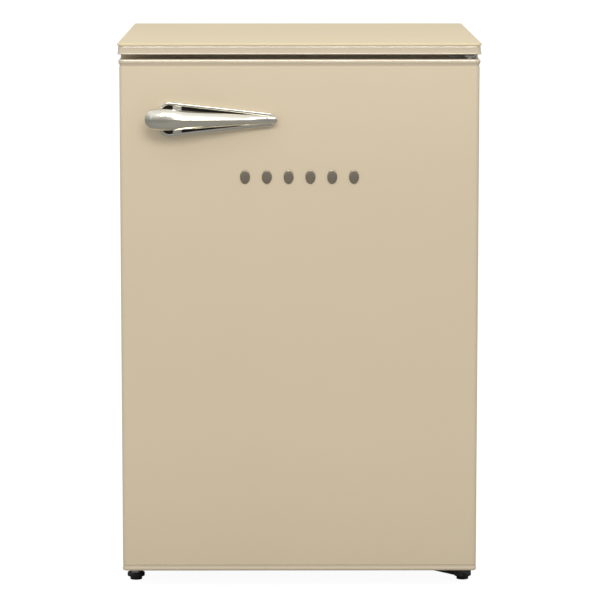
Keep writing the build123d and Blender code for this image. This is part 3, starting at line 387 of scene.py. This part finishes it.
def worktop_skin():
    """A flat slab with a half-round nose: under, round the edge by two arcs, then level to the middle."""
    skin_thick, core_inset, clear = 4 * MM, 18 * MM, 0.1 * MM
    x, y = (TOP_LOW.x, TOP_HIGH.x), (TOP_LOW.y, TOP_HIGH.y)
    top, low = TOP_HIGH.z, TOP_HIGH.z - skin_thick
    edge, under = bpy.context.scene.fridge_looks.worktop_edge, 0.9 * MM
    profile = [(6 * MM, low), (under + 0.4 * MM, low), *arc((under, low + under), under, 270, 180, 6),
               *arc((edge, top - edge), edge, 180, 90, 8), (edge + 0.6 * MM, top), (12 * MM, top)]
    plate = carried(box_corners(x, y), WORKTOP_CORNER, profile, steps=10)
    core_plan = box_corners((x[0] + core_inset, x[1] - core_inset), (y[0] + core_inset, y[1] - core_inset))
    core = carried(core_plan, 1 * MM, [(0, TOP_LOW.z + clear), (0, low + clear)], steps=2)
    return surface("worktop_skin", [(plate, False, True, True), (core, False, True, True)])


def worktop_fascia():
    """A moulding: a rounded lip at the foot, then a cove that leans back to the groove under the worktop.

    The lip is an arc. The cove's inset grows as 1 - (1 - t)^2 while its height grows as t. Two bent
    tabs hang at the rear, each a leaf against the rear wall and a foot above it.
    """
    low, top = TOP_LOW.z, FRAME_HIGH.z
    hang, bead = 1.1 * MM, 1.15 * MM
    inner, shelf, rib = 18 * MM, 2.6 * MM, 1.4 * MM
    cove_start, cove_deep = 0.75 * MM, 0.8 * MM
    cove_foot, cove_head = low - hang + 1.9 * bead, top - 0.3 * MM
    cove = [(cove_start + cove_deep * (1 - (1 - t) ** 2), cove_foot + (cove_head - cove_foot) * t)
            for t in np.linspace(0, 1, 11)]
    profile = [(inner, low), (shelf, low), (shelf, low - hang),
               *arc((bead, low - hang + bead), bead, 270, 80, 12), *cove,
               (1.8 * MM, top), (2.2 * MM, top + rib), (inner, top + rib)]
    x, y = (FRAME_LOW.x, FRAME_HIGH.x), (FRAME_LOW.y, FRAME_HIGH.y)
    patches = [(carried(box_corners(x, y), WORKTOP_CORNER, profile, steps=10), False, True, True)]

    tab_near, tab_far, tab_rear = 0.169, 0.191, 0.297
    tab_thick, tab_corner, tab_round = 3 * MM, 0.8 * MM, 0.6 * MM
    for side in (-1, 1):
        across = sorted((side * tab_near, side * tab_far))
        leaf = carried(box_corners(across, (REAR_FACE, REAR_FACE + tab_thick)), tab_corner,
                       [(tab_round, FRAME_LOW.z), (0, FRAME_LOW.z + tab_round), (0, low)], steps=3)
        foot = carried(box_corners(across, (REAR_FACE, tab_rear)), tab_corner,
                       [(0, low - tab_thick), (0, low)], steps=3)
        patches += [(leaf, False, True, True), (foot, False, True, True)]
    return surface("worktop_fascia", patches)


def door_pan():
    """The folded sheet: a plan with rounded front corners drawn straight up, its ends rounded inwards."""
    edge = bpy.context.scene.fridge_looks.door_edge
    fold, low, high = 1.1 * MM, DOOR_LOW.z, DOOR_HIGH.z
    rows = [*arc((fold, low + fold), fold, 270, 180, 5),
            *[(0, height) for height in np.linspace(low + fold, high - fold, 5)[1:-1]],
            *arc((fold, high - fold), fold, 180, 90, 5)]
    plan = box_corners((DOOR_LOW.x, DOOR_HIGH.x), (DOOR_LOW.y, DOOR_HIGH.y))
    radii = (edge, edge, DOOR_BACK_CORNER, DOOR_BACK_CORNER)
    return surface("door_skin", [(carried(plan, radii, rows, steps=12), False, True, True)])


def end_cap(name, flip):
    """The door's end moulding: a shallow valley, then a proud band with a rounded rim.

    The profile runs outwards from the pan. From the valley to the band its inset falls as half a
    cosine wave. The lower one is the same profile upside down, and shallower.
    """
    edge = bpy.context.scene.fridge_looks.door_edge
    low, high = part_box("door_bottom_cap" if flip else "door_top_cap")
    height = high.z - low.z - 0.1 * MM
    proud, dip = (0.5 * MM, 0.2 * MM) if flip else (1.2 * MM, 0.6 * MM)
    rim, foot, widest = 3.2 * MM, 1.6 * MM, 6.0 * MM
    swell = [(dip - (proud + dip) * (0.5 - 0.5 * math.cos(math.pi * t)), foot + (widest - foot) * t)
             for t in np.linspace(0, 1, 11)[1:]]
    profile = [(4 * MM, 0), (dip, 0), (dip, foot), *swell,
               *arc((rim - proud, height - rim), rim, 180, 90, 8), (6 * MM, height)]
    x, y = (DOOR_LOW.x, DOOR_HIGH.x), (DOOR_LOW.y, DOOR_HIGH.y)
    radii, axes, base = (edge, edge, DOOR_BACK_CORNER, DOOR_BACK_CORNER), UP, low.z
    if flip:
        y, radii, axes, base = (-y[1], -y[0]), radii[::-1], DOWN, -high.z
    profile = [(inset, base + rise) for inset, rise in profile]
    grid = carried(box_corners(x, y), radii, profile, axes, steps=12)
    grid[:, :, 1] = np.minimum(grid[:, :, 1], DOOR_HIGH.y)
    return surface(name, [(grid, False, True, True)])


def door_seal():
    """A bellows section of (inset, height) points, closed on itself and carried around the door's liner.

    Insets are in millimetres and heights are shares of the seal's depth.
    """
    low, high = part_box("door_gasket")
    deep = high.y - low.y
    section = [(1.0, 0), (0.2, 0.06), (0.2, 0.2), (1.6, 0.32), (0.3, 0.46), (0, 0.64), (0.5, 0.86), (1.8, 1),
               (5, 1), (5.6, 0.93), (8.4, 0.93), (9, 1), (12.2, 1), (13.5, 0.86), (14, 0.64), (13.7, 0.46),
               (12.4, 0.32), (13.8, 0.2), (13.8, 0.06), (13, 0)]
    profile = [(inset * MM, low.y + rise * deep) for inset, rise in section]
    grid = carried(box_corners((low.x, high.x), (low.z, high.z)), 6 * MM, profile, BACK, steps=6)
    return surface("door_seal", [(grid, True, True, False)], sharp=60)


def hermite(x, stations, values):
    """A smooth curve through (station, value) points: cubic pieces, with slopes from the neighbours."""
    stations, values = np.asarray(stations, float), np.asarray(values, float)
    slopes = np.gradient(values, stations)
    k = np.clip(np.searchsorted(stations, x, side="right") - 1, 0, len(stations) - 2)
    span = stations[k + 1] - stations[k]
    t = (x - stations[k]) / span
    return ((2 * t ** 3 - 3 * t ** 2 + 1) * values[k] + (t ** 3 - 2 * t ** 2 + t) * span * slopes[k]
            + (3 * t ** 2 - 2 * t ** 3) * values[k + 1] + (t ** 3 - t ** 2) * span * slopes[k + 1])


def tapered(x0, x1, width0, width1, level):
    """The corners of a trapezium that lies evenly about a level."""
    return [(x0, level - width0 / 2), (x1, level - width1 / 2),
            (x1, level + width1 / 2), (x0, level + width0 / 2)]


def handle_plate():
    """The plate: up its tapered side, over the rail, down into the pocket; and the post that crosses it.

    Heights are above the door's face. The pocket's outline is the plate's, drawn in by the rail.
    """
    low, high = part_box("handle_base")
    level = (low.z + high.z) / 2
    door = -DOOR_LOW.y
    wide, narrow, rail, pocket_short = 57 * MM, 19 * MM, 5.5 * MM, 34 * MM
    slope = (wide - narrow) / (high.x - low.x)
    rise, round_off, floor, lip = 9 * MM, 1.8 * MM, 2.5 * MM, 1.0 * MM

    outer_radii, pocket_radii = (16 * MM, 6 * MM, 6 * MM, 16 * MM), (10.5 * MM, 3 * MM, 3 * MM, 10.5 * MM)
    up_the_side = [(0, door), (0, door + rise - round_off),
                   *[(inset, door + height)
                     for inset, height in arc((round_off, rise - round_off), round_off, 180, 90, 6)]]
    into_the_pocket = [*[(inset, door + height) for inset, height in arc((-lip, rise - lip), lip, 90, 0, 5)],
                       (0.2 * MM, door + floor + 1.0 * MM), (0.6 * MM, door + floor + 0.3 * MM),
                       (1.4 * MM, door + floor)]
    outer = carried(tapered(low.x, high.x, wide, narrow, level), outer_radii, up_the_side, FRONT, steps=12)
    pocket_outline = tapered(low.x + rail, high.x - pocket_short, wide - 2 * rail,
                             narrow - 2 * rail + slope * pocket_short, level)
    pocket = carried(pocket_outline, pocket_radii, into_the_pocket, FRONT, steps=12)
    plate = np.concatenate([outer, pocket])

    post = (low.x + 21.5 * MM, low.x + 35.5 * MM)
    bridge_half, neck_half, neck_high = 23.5 * MM, 9.5 * MM, 27.5 * MM
    bridge = carried(box_corners(post, (level - bridge_half, level + bridge_half)), 1.5 * MM,
                     [(0, door + floor - 0.5 * MM), (0, door + rise - 1.6 * MM),
                      (0.5 * MM, door + rise - 0.9 * MM), (1.4 * MM, door + rise - 0.6 * MM)], FRONT, steps=4)
    neck = carried(box_corners(post, (level - neck_half, level + neck_half)), 3 * MM,
                   [(-1.5 * MM, door + rise - 1.0 * MM), (-0.4 * MM, door + rise + 0.2 * MM),
                    (0, door + rise + 1.5 * MM), (0, door + neck_high)], FRONT, steps=6)
    piece = surface("handle_plate", [(plate, False, True, True), (bridge, False, True, True),
                                     (neck, False, True, True)], sharp=50)

    # The pocket's lower wall and its floor, which is the plate's last cap, take the second finish: black, a
    # painted shade for the dark pocket under the lever
    around, wall_row = plate.shape[1], len(outer) + 4
    floor_face = (len(plate) - 1) * around + 1
    painted_pocket_shade = np.zeros(len(piece.data.polygons), np.int32)
    painted_pocket_shade[wall_row * around:(len(plate) - 1) * around] = 1
    painted_pocket_shade[floor_face] = 1
    piece.data.polygons.foreach_set("material_index", painted_pocket_shade)
    return piece


def handle_lever():
    """The lever, as rows of closed sections along its length, in millimetres.

    At a distance along it, half-width w, crest c and underside u come from smooth curves, and both
    ends close on a half circle. With m and h the middle and half of c and u, a section is
    rise = m +/- h (1 - |v|^n)^(1/n) for v from -1 to 1 across, less a crease: slope . w . |v|.
    """
    low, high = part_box("handle_bar")
    length = (high.x - low.x) / MM
    level = (low.z + high.z) / 2
    butt, tip, lean, softness, end_gap = 13, 5.6, 2.2, 0.02, 0.02
    x = length * (1 - np.cos(np.linspace(0, math.pi, 121))) / 2
    x = np.clip(x, end_gap, length - end_gap)

    stations = [0, 12, 24, 45, 90, 140, 180, 192, length]
    half = hermite(x, stations, [15, 15.8, 16.2, 15.2, 11.9, 8.9, 6.3, 5.4, 5.6])
    crest = hermite(x, stations, [36, 39.5, 41, 40, 34.0, 25, 17.2, 15.2, 14.8])
    under = hermite(x, [0, 6, 16, 30, 44, 60, 110, 150, 175, length],
                    [19, 17.5, 18, 24, 28, 28, 20.5, 13, 9.1, 9.1])
    power = hermite(x, [0, 24, 60, 150, 190, length], [2.0, 2.0, 3.0, 3.0, 2.2, 2.0])
    crease_share = np.clip(hermite(x, [0, 26, 62, 150, 185, length], [0, 0, 1, 1, 0, 0]), 0, 1)
    crease = bpy.context.scene.fridge_looks.lever_crease * crease_share
    close = (np.sqrt(1 - np.clip(1 - x / butt, 0, 1) ** 2)
             * np.sqrt(1 - np.clip(1 - (length - x) / tip, 0, 1) ** 2))
    middle, deep = (crest + under) / 2, (crest - under) / 2 * close
    half = half * close

    across = np.sin(np.radians(np.linspace(90, -90, 37)))
    across = np.sort(np.concatenate([across, [-0.05, 0.05]]))[::-1]
    bow = (1 - np.abs(across)[None, :] ** power[:, None]) ** (1 / power[:, None])
    ridge = np.sqrt(across ** 2 + softness ** 2) - softness
    fall = (crease * half)[:, None] * ridge * (bow > 0) * np.minimum(1, bow * 2)
    front = middle[:, None] + deep[:, None] * bow - fall
    back = middle[:, None] - deep[:, None] * bow
    rise = np.concatenate([front, back[:, ::-1][:, 1:-1]], axis=1)
    raised = lean * np.clip(1 - x / length, 0, 1)
    offset = raised[:, None] + half[:, None] * np.concatenate([across, across[::-1][1:-1]])
    points = np.stack([np.broadcast_to(low.x + x[:, None] * MM, rise.shape), DOOR_LOW.y - rise * MM,
                       level + offset * MM], axis=-1)
    return surface("handle_lever", [(points, False, True, True)], sharp=80)


def badge():
    """A row of ovals: x and z run round an ellipse that shrinks by the inset while it rises to a low dome.

    Insets are in millimetres and heights are shares of the studs' depth.
    """
    low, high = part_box("badge_studs")
    count, wide, tall = bpy.context.scene.fridge_looks.badge_count, 15 * MM, high.z - low.z
    level = (low.z + high.z) / 2
    section = [(0, 0), (0, 0.62), (0.35, 0.8), (0.9, 0.9), (2.2, 0.95), (4.2, 0.985), (6.2, 1)]
    inset, height = np.array(section).T[:, :, None]
    angle = np.linspace(0, 2 * math.pi, 40, endpoint=False)
    patches = []
    for x in np.linspace(low.x + wide / 2, high.x - wide / 2, count):
        grid = np.stack([x + (wide / 2 - inset * MM) * np.cos(angle),
                         high.y - height * (high.y - low.y) + 0 * angle,
                         level + (tall / 2 - inset * MM) * np.sin(angle)], axis=-1)
        patches.append((grid, False, True, True))
    return surface("badge_ovals", patches)


# The stage. Lamps are (name, place, target, size, share of the key light's power), in metres.
LAMPS = (("key", (0.0, -1.9, 1.8), (0, 0, 0.5), (1.1, 0.5), 1.0),
         ("fill", (-2.4, -2.2, 1.5), (0, 0, 0.4), (1.6, 1.6), 0.12))
FLOOR_HALF_WIDTH = 40.0
FLOOR_GLOW = 0.95
FLOOR_GREY, FLOOR_GREY_SEEN = (0.5, 0.495, 0.48, 1), (0.15, 0.15, 0.15, 1)

# Light from the world, as (position, level): by nearness to the brightest direction, and for mirrors
# by height above the horizon
BRIGHTEST_WAY = (-0.1, -0.55, 0.83)
WORLD_LIGHT = ((0.0, 0.46), (0.4, 0.6), (0.6, 0.71), (0.8, 0.84), (1.0, 0.94))
MIRROR_LIGHT = ((0.0, 0.4), (0.2, 0.48), (0.38, 0.78), (0.7, 1.05), (1.0, 0.9))

# ---- operators ---------------------------------------------------------------------------------

class FRIDGE_OT_cabinet(bpy.types.Operator):
    """Paint the cabinet's shell and finish its sheet metal, screws and hinge brackets"""
    bl_idname = "fridge.cabinet"
    bl_label = "Cabinet"

    def execute(self, context):
        dress("side_panel_left", "side_panel_right", "top_panel", "rear_panel", "base_panel", "front_rails",
              "cabinet_foam", "cabinet_screws", "upper_hinge_bracket", "lower_hinge_bracket",
              "left_foot_plate", "hinge_pins", "rear_feet")
        return {"FINISHED"}


class FRIDGE_OT_worktop(bpy.types.Operator):
    """Build the worktop's rounded skin and its moulded fascia"""
    bl_idname = "fridge.worktop"
    bl_label = "Worktop"

    def execute(self, context):
        seat(worktop_skin(), "root", "worktop_paint", "worktop_panel")
        seat(worktop_fascia(), "root", "worktop_trim", "worktop_frame")
        return {"FINISHED"}


class FRIDGE_OT_door(bpy.types.Operator):
    """Build the door's pan, its end mouldings and its seal, and finish its inner face"""
    bl_idname = "fridge.door"
    bl_label = "Door"

    def execute(self, context):
        seat(door_pan(), "door", "body_paint", "door_outer_panel")
        seat(end_cap("door_top_moulding", False), "door", "cap_plastic", "door_top_cap")
        seat(end_cap("door_bottom_moulding", True), "door", "cap_plastic", "door_bottom_cap")
        seat(door_seal(), "door", "seal", "door_gasket")
        dress("door_foam", "door_liner", "hinge_bushes", "bottle_balcony", "middle_balcony", "top_balcony")
        return {"FINISHED"}


class FRIDGE_OT_handle(bpy.types.Operator):
    """Build the chromed handle plate and its lever"""
    bl_idname = "fridge.handle"
    bl_label = "Handle"

    def execute(self, context):
        plate = seat(handle_plate(), "door", "chrome", "handle_base")
        # The second finish is black moulding, painted shade for the pocket under the lever
        plate.data.materials.append(material_of("black_plastic"))
        seat(handle_lever(), "door", "chrome", "handle_bar")
        return {"FINISHED"}


class FRIDGE_OT_badge(bpy.types.Operator):
    """Build the row of plain oval studs"""
    bl_idname = "fridge.badge"
    bl_label = "Badge studs"

    def execute(self, context):
        seat(badge(), "door", "badge_metal", "badge_studs")
        return {"FINISHED"}


class FRIDGE_OT_feet(bpy.types.Operator):
    """Finish the levelling feet"""
    bl_idname = "fridge.feet"
    bl_label = "Feet"

    def execute(self, context):
        dress("foot_pad_left", "foot_pad_right", "foot_stud_left", "foot_stud_right")
        return {"FINISHED"}


class FRIDGE_OT_inside(bpy.types.Operator):
    """Finish the liner, icebox, shelves, crisper, lamp, dial and light switch"""
    bl_idname = "fridge.inside"
    bl_label = "Inside"

    def execute(self, context):
        dress("cabinet_liner", "evaporator", "icebox_frame", "icebox_flap", "upper_shelf_glass",
              "upper_shelf_trim", "lower_shelf_glass", "lower_shelf_trim", "crisper_cover", "crisper_drawer",
              "thermostat_housing", "thermostat_knob", "lamp_cover", "lamp_bulb", "switch_housing",
              "light_switch")
        return {"FINISHED"}


class FRIDGE_OT_cooling(bpy.types.Operator):
    """Finish the compressor, pipes, condenser, drain and their mountings"""
    bl_idname = "fridge.cooling"
    bl_label = "Cooling circuit"

    def execute(self, context):
        dress("compressor_plate", "compressor", "compressor_grommets", "relay_cover", "cord_grommet",
              "evaporation_tray", "drain_tube", "condenser_tube", "condenser_wires", "condenser_brackets",
              "refrigerant_pipes", "filter_drier")
        return {"FINISHED"}


class FRIDGE_OT_stage(bpy.types.Operator):
    """Lay the floor, set the soft lights and place the camera"""
    bl_idname = "fridge.stage"
    bl_label = "Stage"

    def execute(self, context):
        looks = context.scene.fridge_looks
        corners = [(x, y, 0) for x, y in box_corners((-FLOOR_HALF_WIDTH, FLOOR_HALF_WIDTH),
                                                     (-FLOOR_HALF_WIDTH, FLOOR_HALF_WIDTH))]
        floor = mesh_object("floor", corners, [(0, 1, 2, 3)])
        floor.data.materials.append(floor_finish())
        studio_world()
        for name, place, target, size, share in LAMPS:
            soft_light(name, place, target, size, looks.key_light * share)
        place_camera(looks)
        context.scene.view_settings.view_transform = "Standard"
        return {"FINISHED"}


def background_ray(tree, mirror):
    """1 for camera and transmitted rays, which see the stage as a backdrop, and a share for mirror rays."""
    path = tree.nodes.new("ShaderNodeLightPath")
    share = tree.nodes.new("ShaderNodeMath")
    share.operation = "MULTIPLY"
    share.inputs[1].default_value = mirror
    tree.links.new(path.outputs["Is Glossy Ray"], share.inputs[0])
    value = share.outputs[0]
    for name in ("Is Camera Ray", "Is Transmission Ray"):
        larger = tree.nodes.new("ShaderNodeMath")
        larger.operation = "MAXIMUM"
        tree.links.new(value, larger.inputs[0])
        tree.links.new(path.outputs[name], larger.inputs[1])
        value = larger.outputs[0]
    return value


def floor_finish():
    """A pale floor: it glows towards white for the backdrop's rays and keeps a part of its shading."""
    material = bpy.data.materials.new("pale_floor")
    material.use_nodes = True
    tree = material.node_tree
    tree.nodes.remove(tree.nodes["Principled BSDF"])
    seen = background_ray(tree, 0.0)
    diffuse = tree.nodes.new("ShaderNodeBsdfDiffuse")
    shade = tree.nodes.new("ShaderNodeMix")
    shade.data_type = "RGBA"
    shade.inputs["A"].default_value = FLOOR_GREY
    shade.inputs["B"].default_value = FLOOR_GREY_SEEN
    tree.links.new(background_ray(tree, 0.5), shade.inputs["Factor"])
    tree.links.new(shade.outputs["Result"], diffuse.inputs["Color"])
    glow = tree.nodes.new("ShaderNodeEmission")
    strength = tree.nodes.new("ShaderNodeMath")
    strength.operation = "MULTIPLY"
    strength.inputs[1].default_value = FLOOR_GLOW
    tree.links.new(seen, strength.inputs[0])
    tree.links.new(strength.outputs[0], glow.inputs["Strength"])
    both = tree.nodes.new("ShaderNodeAddShader")
    tree.links.new(diffuse.outputs[0], both.inputs[0])
    tree.links.new(glow.outputs[0], both.inputs[1])
    tree.links.new(both.outputs[0], tree.nodes["Material Output"].inputs["Surface"])
    return material


def ramp(tree, value, stops):
    """Grey levels at positions from 0 to 1."""
    node = tree.nodes.new("ShaderNodeValToRGB")
    elements = node.color_ramp.elements
    while len(elements) < len(stops):
        elements.new(0.5)
    for element, (position, level) in zip(elements, stops):
        element.position = position
        element.color = (level, level, level, 1)
    tree.links.new(value, node.inputs["Fac"])
    return node.outputs["Color"]


def blended(tree, factor, first, second):
    """One colour or the other, by a factor."""
    node = tree.nodes.new("ShaderNodeMix")
    node.data_type = "RGBA"
    tree.links.new(factor, node.inputs["Factor"])
    for name, source in (("A", first), ("B", second)):
        if isinstance(source, tuple):
            node.inputs[name].default_value = source
        else:
            tree.links.new(source, node.inputs[name])
    return node.outputs["Result"]


def studio_world():
    """Light by direction: brightest from above and in front. Mirrors see soft boxes over a dim horizon."""
    world = bpy.data.worlds.new("studio")
    bpy.context.scene.world = world
    world.use_nodes = True
    tree = world.node_tree
    place = tree.nodes.new("ShaderNodeTexCoord")
    facing = tree.nodes.new("ShaderNodeVectorMath")
    facing.operation = "DOT_PRODUCT"
    facing.inputs[1].default_value = BRIGHTEST_WAY
    tree.links.new(place.outputs["Generated"], facing.inputs[0])
    soft = ramp(tree, ranged(tree, facing.outputs["Value"], 0, 1, -1, 1), WORLD_LIGHT)
    parts = tree.nodes.new("ShaderNodeSeparateXYZ")
    tree.links.new(place.outputs["Generated"], parts.inputs["Vector"])
    mirror = ramp(tree, ranged(tree, parts.outputs["Z"], 0, 1, 0, 1), MIRROR_LIGHT)
    path = tree.nodes.new("ShaderNodeLightPath")
    colour = blended(tree, path.outputs["Is Glossy Ray"], soft, mirror)
    colour = blended(tree, background_ray(tree, 0.0), colour, (1, 1, 1, 1))
    tree.links.new(colour, tree.nodes["Background"].inputs["Color"])


def soft_light(name, place, target, size, power):
    """A rectangular area lamp that faces a target."""
    lamp = bpy.data.lights.new(name, "AREA")
    lamp.shape = "RECTANGLE"
    lamp.size, lamp.size_y = size
    lamp.energy = power
    holder = bpy.data.objects.new(name, lamp)
    holder.location = place
    direction = np.array(target, float) - np.array(place, float)
    flat = math.hypot(direction[0], direction[1])
    holder.rotation_euler = (math.atan2(flat, -direction[2]), 0, math.atan2(-direction[0], direction[1]))
    bpy.context.scene.collection.objects.link(holder)


def place_camera(looks):
    """A long lens in front of the door, a little above the worktop and tilted down."""
    camera = bpy.data.cameras.new("camera")
    camera.lens = looks.camera_lens
    camera.clip_end = 100
    holder = bpy.data.objects.new("camera", camera)
    holder.location = (looks.camera_side, DOOR_LOW.y - looks.camera_distance, TOP_HIGH.z + looks.camera_rise)
    holder.rotation_euler = (math.pi / 2 - looks.camera_tilt, 0, looks.camera_turn)
    bpy.context.scene.collection.objects.link(holder)
    bpy.context.scene.camera = holder


OPERATORS = (FRIDGE_OT_cabinet, FRIDGE_OT_worktop, FRIDGE_OT_door, FRIDGE_OT_handle, FRIDGE_OT_badge,
             FRIDGE_OT_feet, FRIDGE_OT_inside, FRIDGE_OT_cooling, FRIDGE_OT_stage)


# ---- settings, panel and registration ----------------------------------------------------------

class FridgeLooks(bpy.types.PropertyGroup):
    """The sizes and colours of the fridge that a user would change"""
    paint: FloatVectorProperty(name="Paint", description="Enamel of the door and the cabinet",
                               subtype="COLOR", size=3, min=0, max=1, default=srgb(218, 202, 173))
    worktop: FloatVectorProperty(name="Worktop", description="Laminate of the worktop",
                                 subtype="COLOR", size=3, min=0, max=1, default=srgb(231, 214, 179))
    trim: FloatVectorProperty(name="Mouldings", description="Fascia and end mouldings",
                              subtype="COLOR", size=3, min=0, max=1, default=srgb(214, 197, 167))
    enamel_roughness: FloatProperty(name="Enamel roughness", description="0 is a mirror, 1 is matt",
                                    subtype="FACTOR", min=0, max=1, default=0.34)
    chrome_roughness: FloatProperty(name="Chrome roughness", description="0 is a mirror, 1 is matt",
                                    subtype="FACTOR", min=0, max=1, default=0.17)
    worktop_edge: FloatProperty(name="Worktop edge", description="Radius of the worktop's upper edge",
                                unit="LENGTH", subtype="DISTANCE", min=0.0005, max=0.003, default=0.0016)
    door_edge: FloatProperty(name="Door edge", description="Radius of the door's upright edges",
                             unit="LENGTH", subtype="DISTANCE", min=0.002, max=0.02, default=0.007)
    lever_crease: FloatProperty(name="Lever crease", description="Fall of the lever's facets from the crest",
                                min=0, max=1, default=0.42)
    badge_count: IntProperty(name="Badge studs", description="Number of oval studs", min=1, max=8, default=6)
    key_light: FloatProperty(name="Key light", description="Power of the main lamp",
                             unit="POWER", min=0, max=1000, default=13.5)
    camera_lens: FloatProperty(name="Lens", description="Focal length", unit="CAMERA", min=20, max=400,
                               default=191.0)
    camera_distance: FloatProperty(name="Camera distance", description="From the door's face",
                                   unit="LENGTH", min=1, max=20, default=4.8)
    camera_side: FloatProperty(name="Camera side", description="To the right of the middle",
                               unit="LENGTH", min=-1, max=1, default=-0.0185)
    camera_rise: FloatProperty(name="Camera rise", description="Above the worktop",
                               unit="LENGTH", min=-1, max=3, default=0.282)
    camera_tilt: FloatProperty(name="Camera tilt", description="Downwards", subtype="ANGLE",
                               min=0, max=1, default=math.radians(7.974))
    camera_turn: FloatProperty(name="Camera turn", description="To the left", subtype="ANGLE",
                               min=-1, max=1, default=math.radians(-0.23))


class FRIDGE_PT_panel(bpy.types.Panel):
    """Lists the fridge's settings and pieces"""
    bl_label = "Mini fridge"
    bl_idname = "FRIDGE_PT_panel"
    bl_space_type = "VIEW_3D"
    bl_region_type = "UI"
    bl_category = "Fridge"

    def draw(self, context):
        for name in FridgeLooks.__annotations__:
            self.layout.prop(context.scene.fridge_looks, name)
        for operator in OPERATORS:
            self.layout.operator(operator.bl_idname)


CLASSES = (FridgeLooks, *OPERATORS, FRIDGE_PT_panel)


def register():
    for each in CLASSES:
        bpy.utils.register_class(each)
    bpy.types.Scene.fridge_looks = PointerProperty(type=FridgeLooks)


def unregister():
    del bpy.types.Scene.fridge_looks
    for each in reversed(CLASSES):
        bpy.utils.unregister_class(each)


def main():
    """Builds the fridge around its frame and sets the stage."""
    register()
    bpy.ops.fridge.cabinet()
    bpy.ops.fridge.worktop()
    bpy.ops.fridge.door()
    bpy.ops.fridge.handle()
    bpy.ops.fridge.badge()
    bpy.ops.fridge.feet()
    bpy.ops.fridge.inside()
    bpy.ops.fridge.cooling()
    bpy.ops.fridge.stage()


if __name__ == "__main__":
    main()
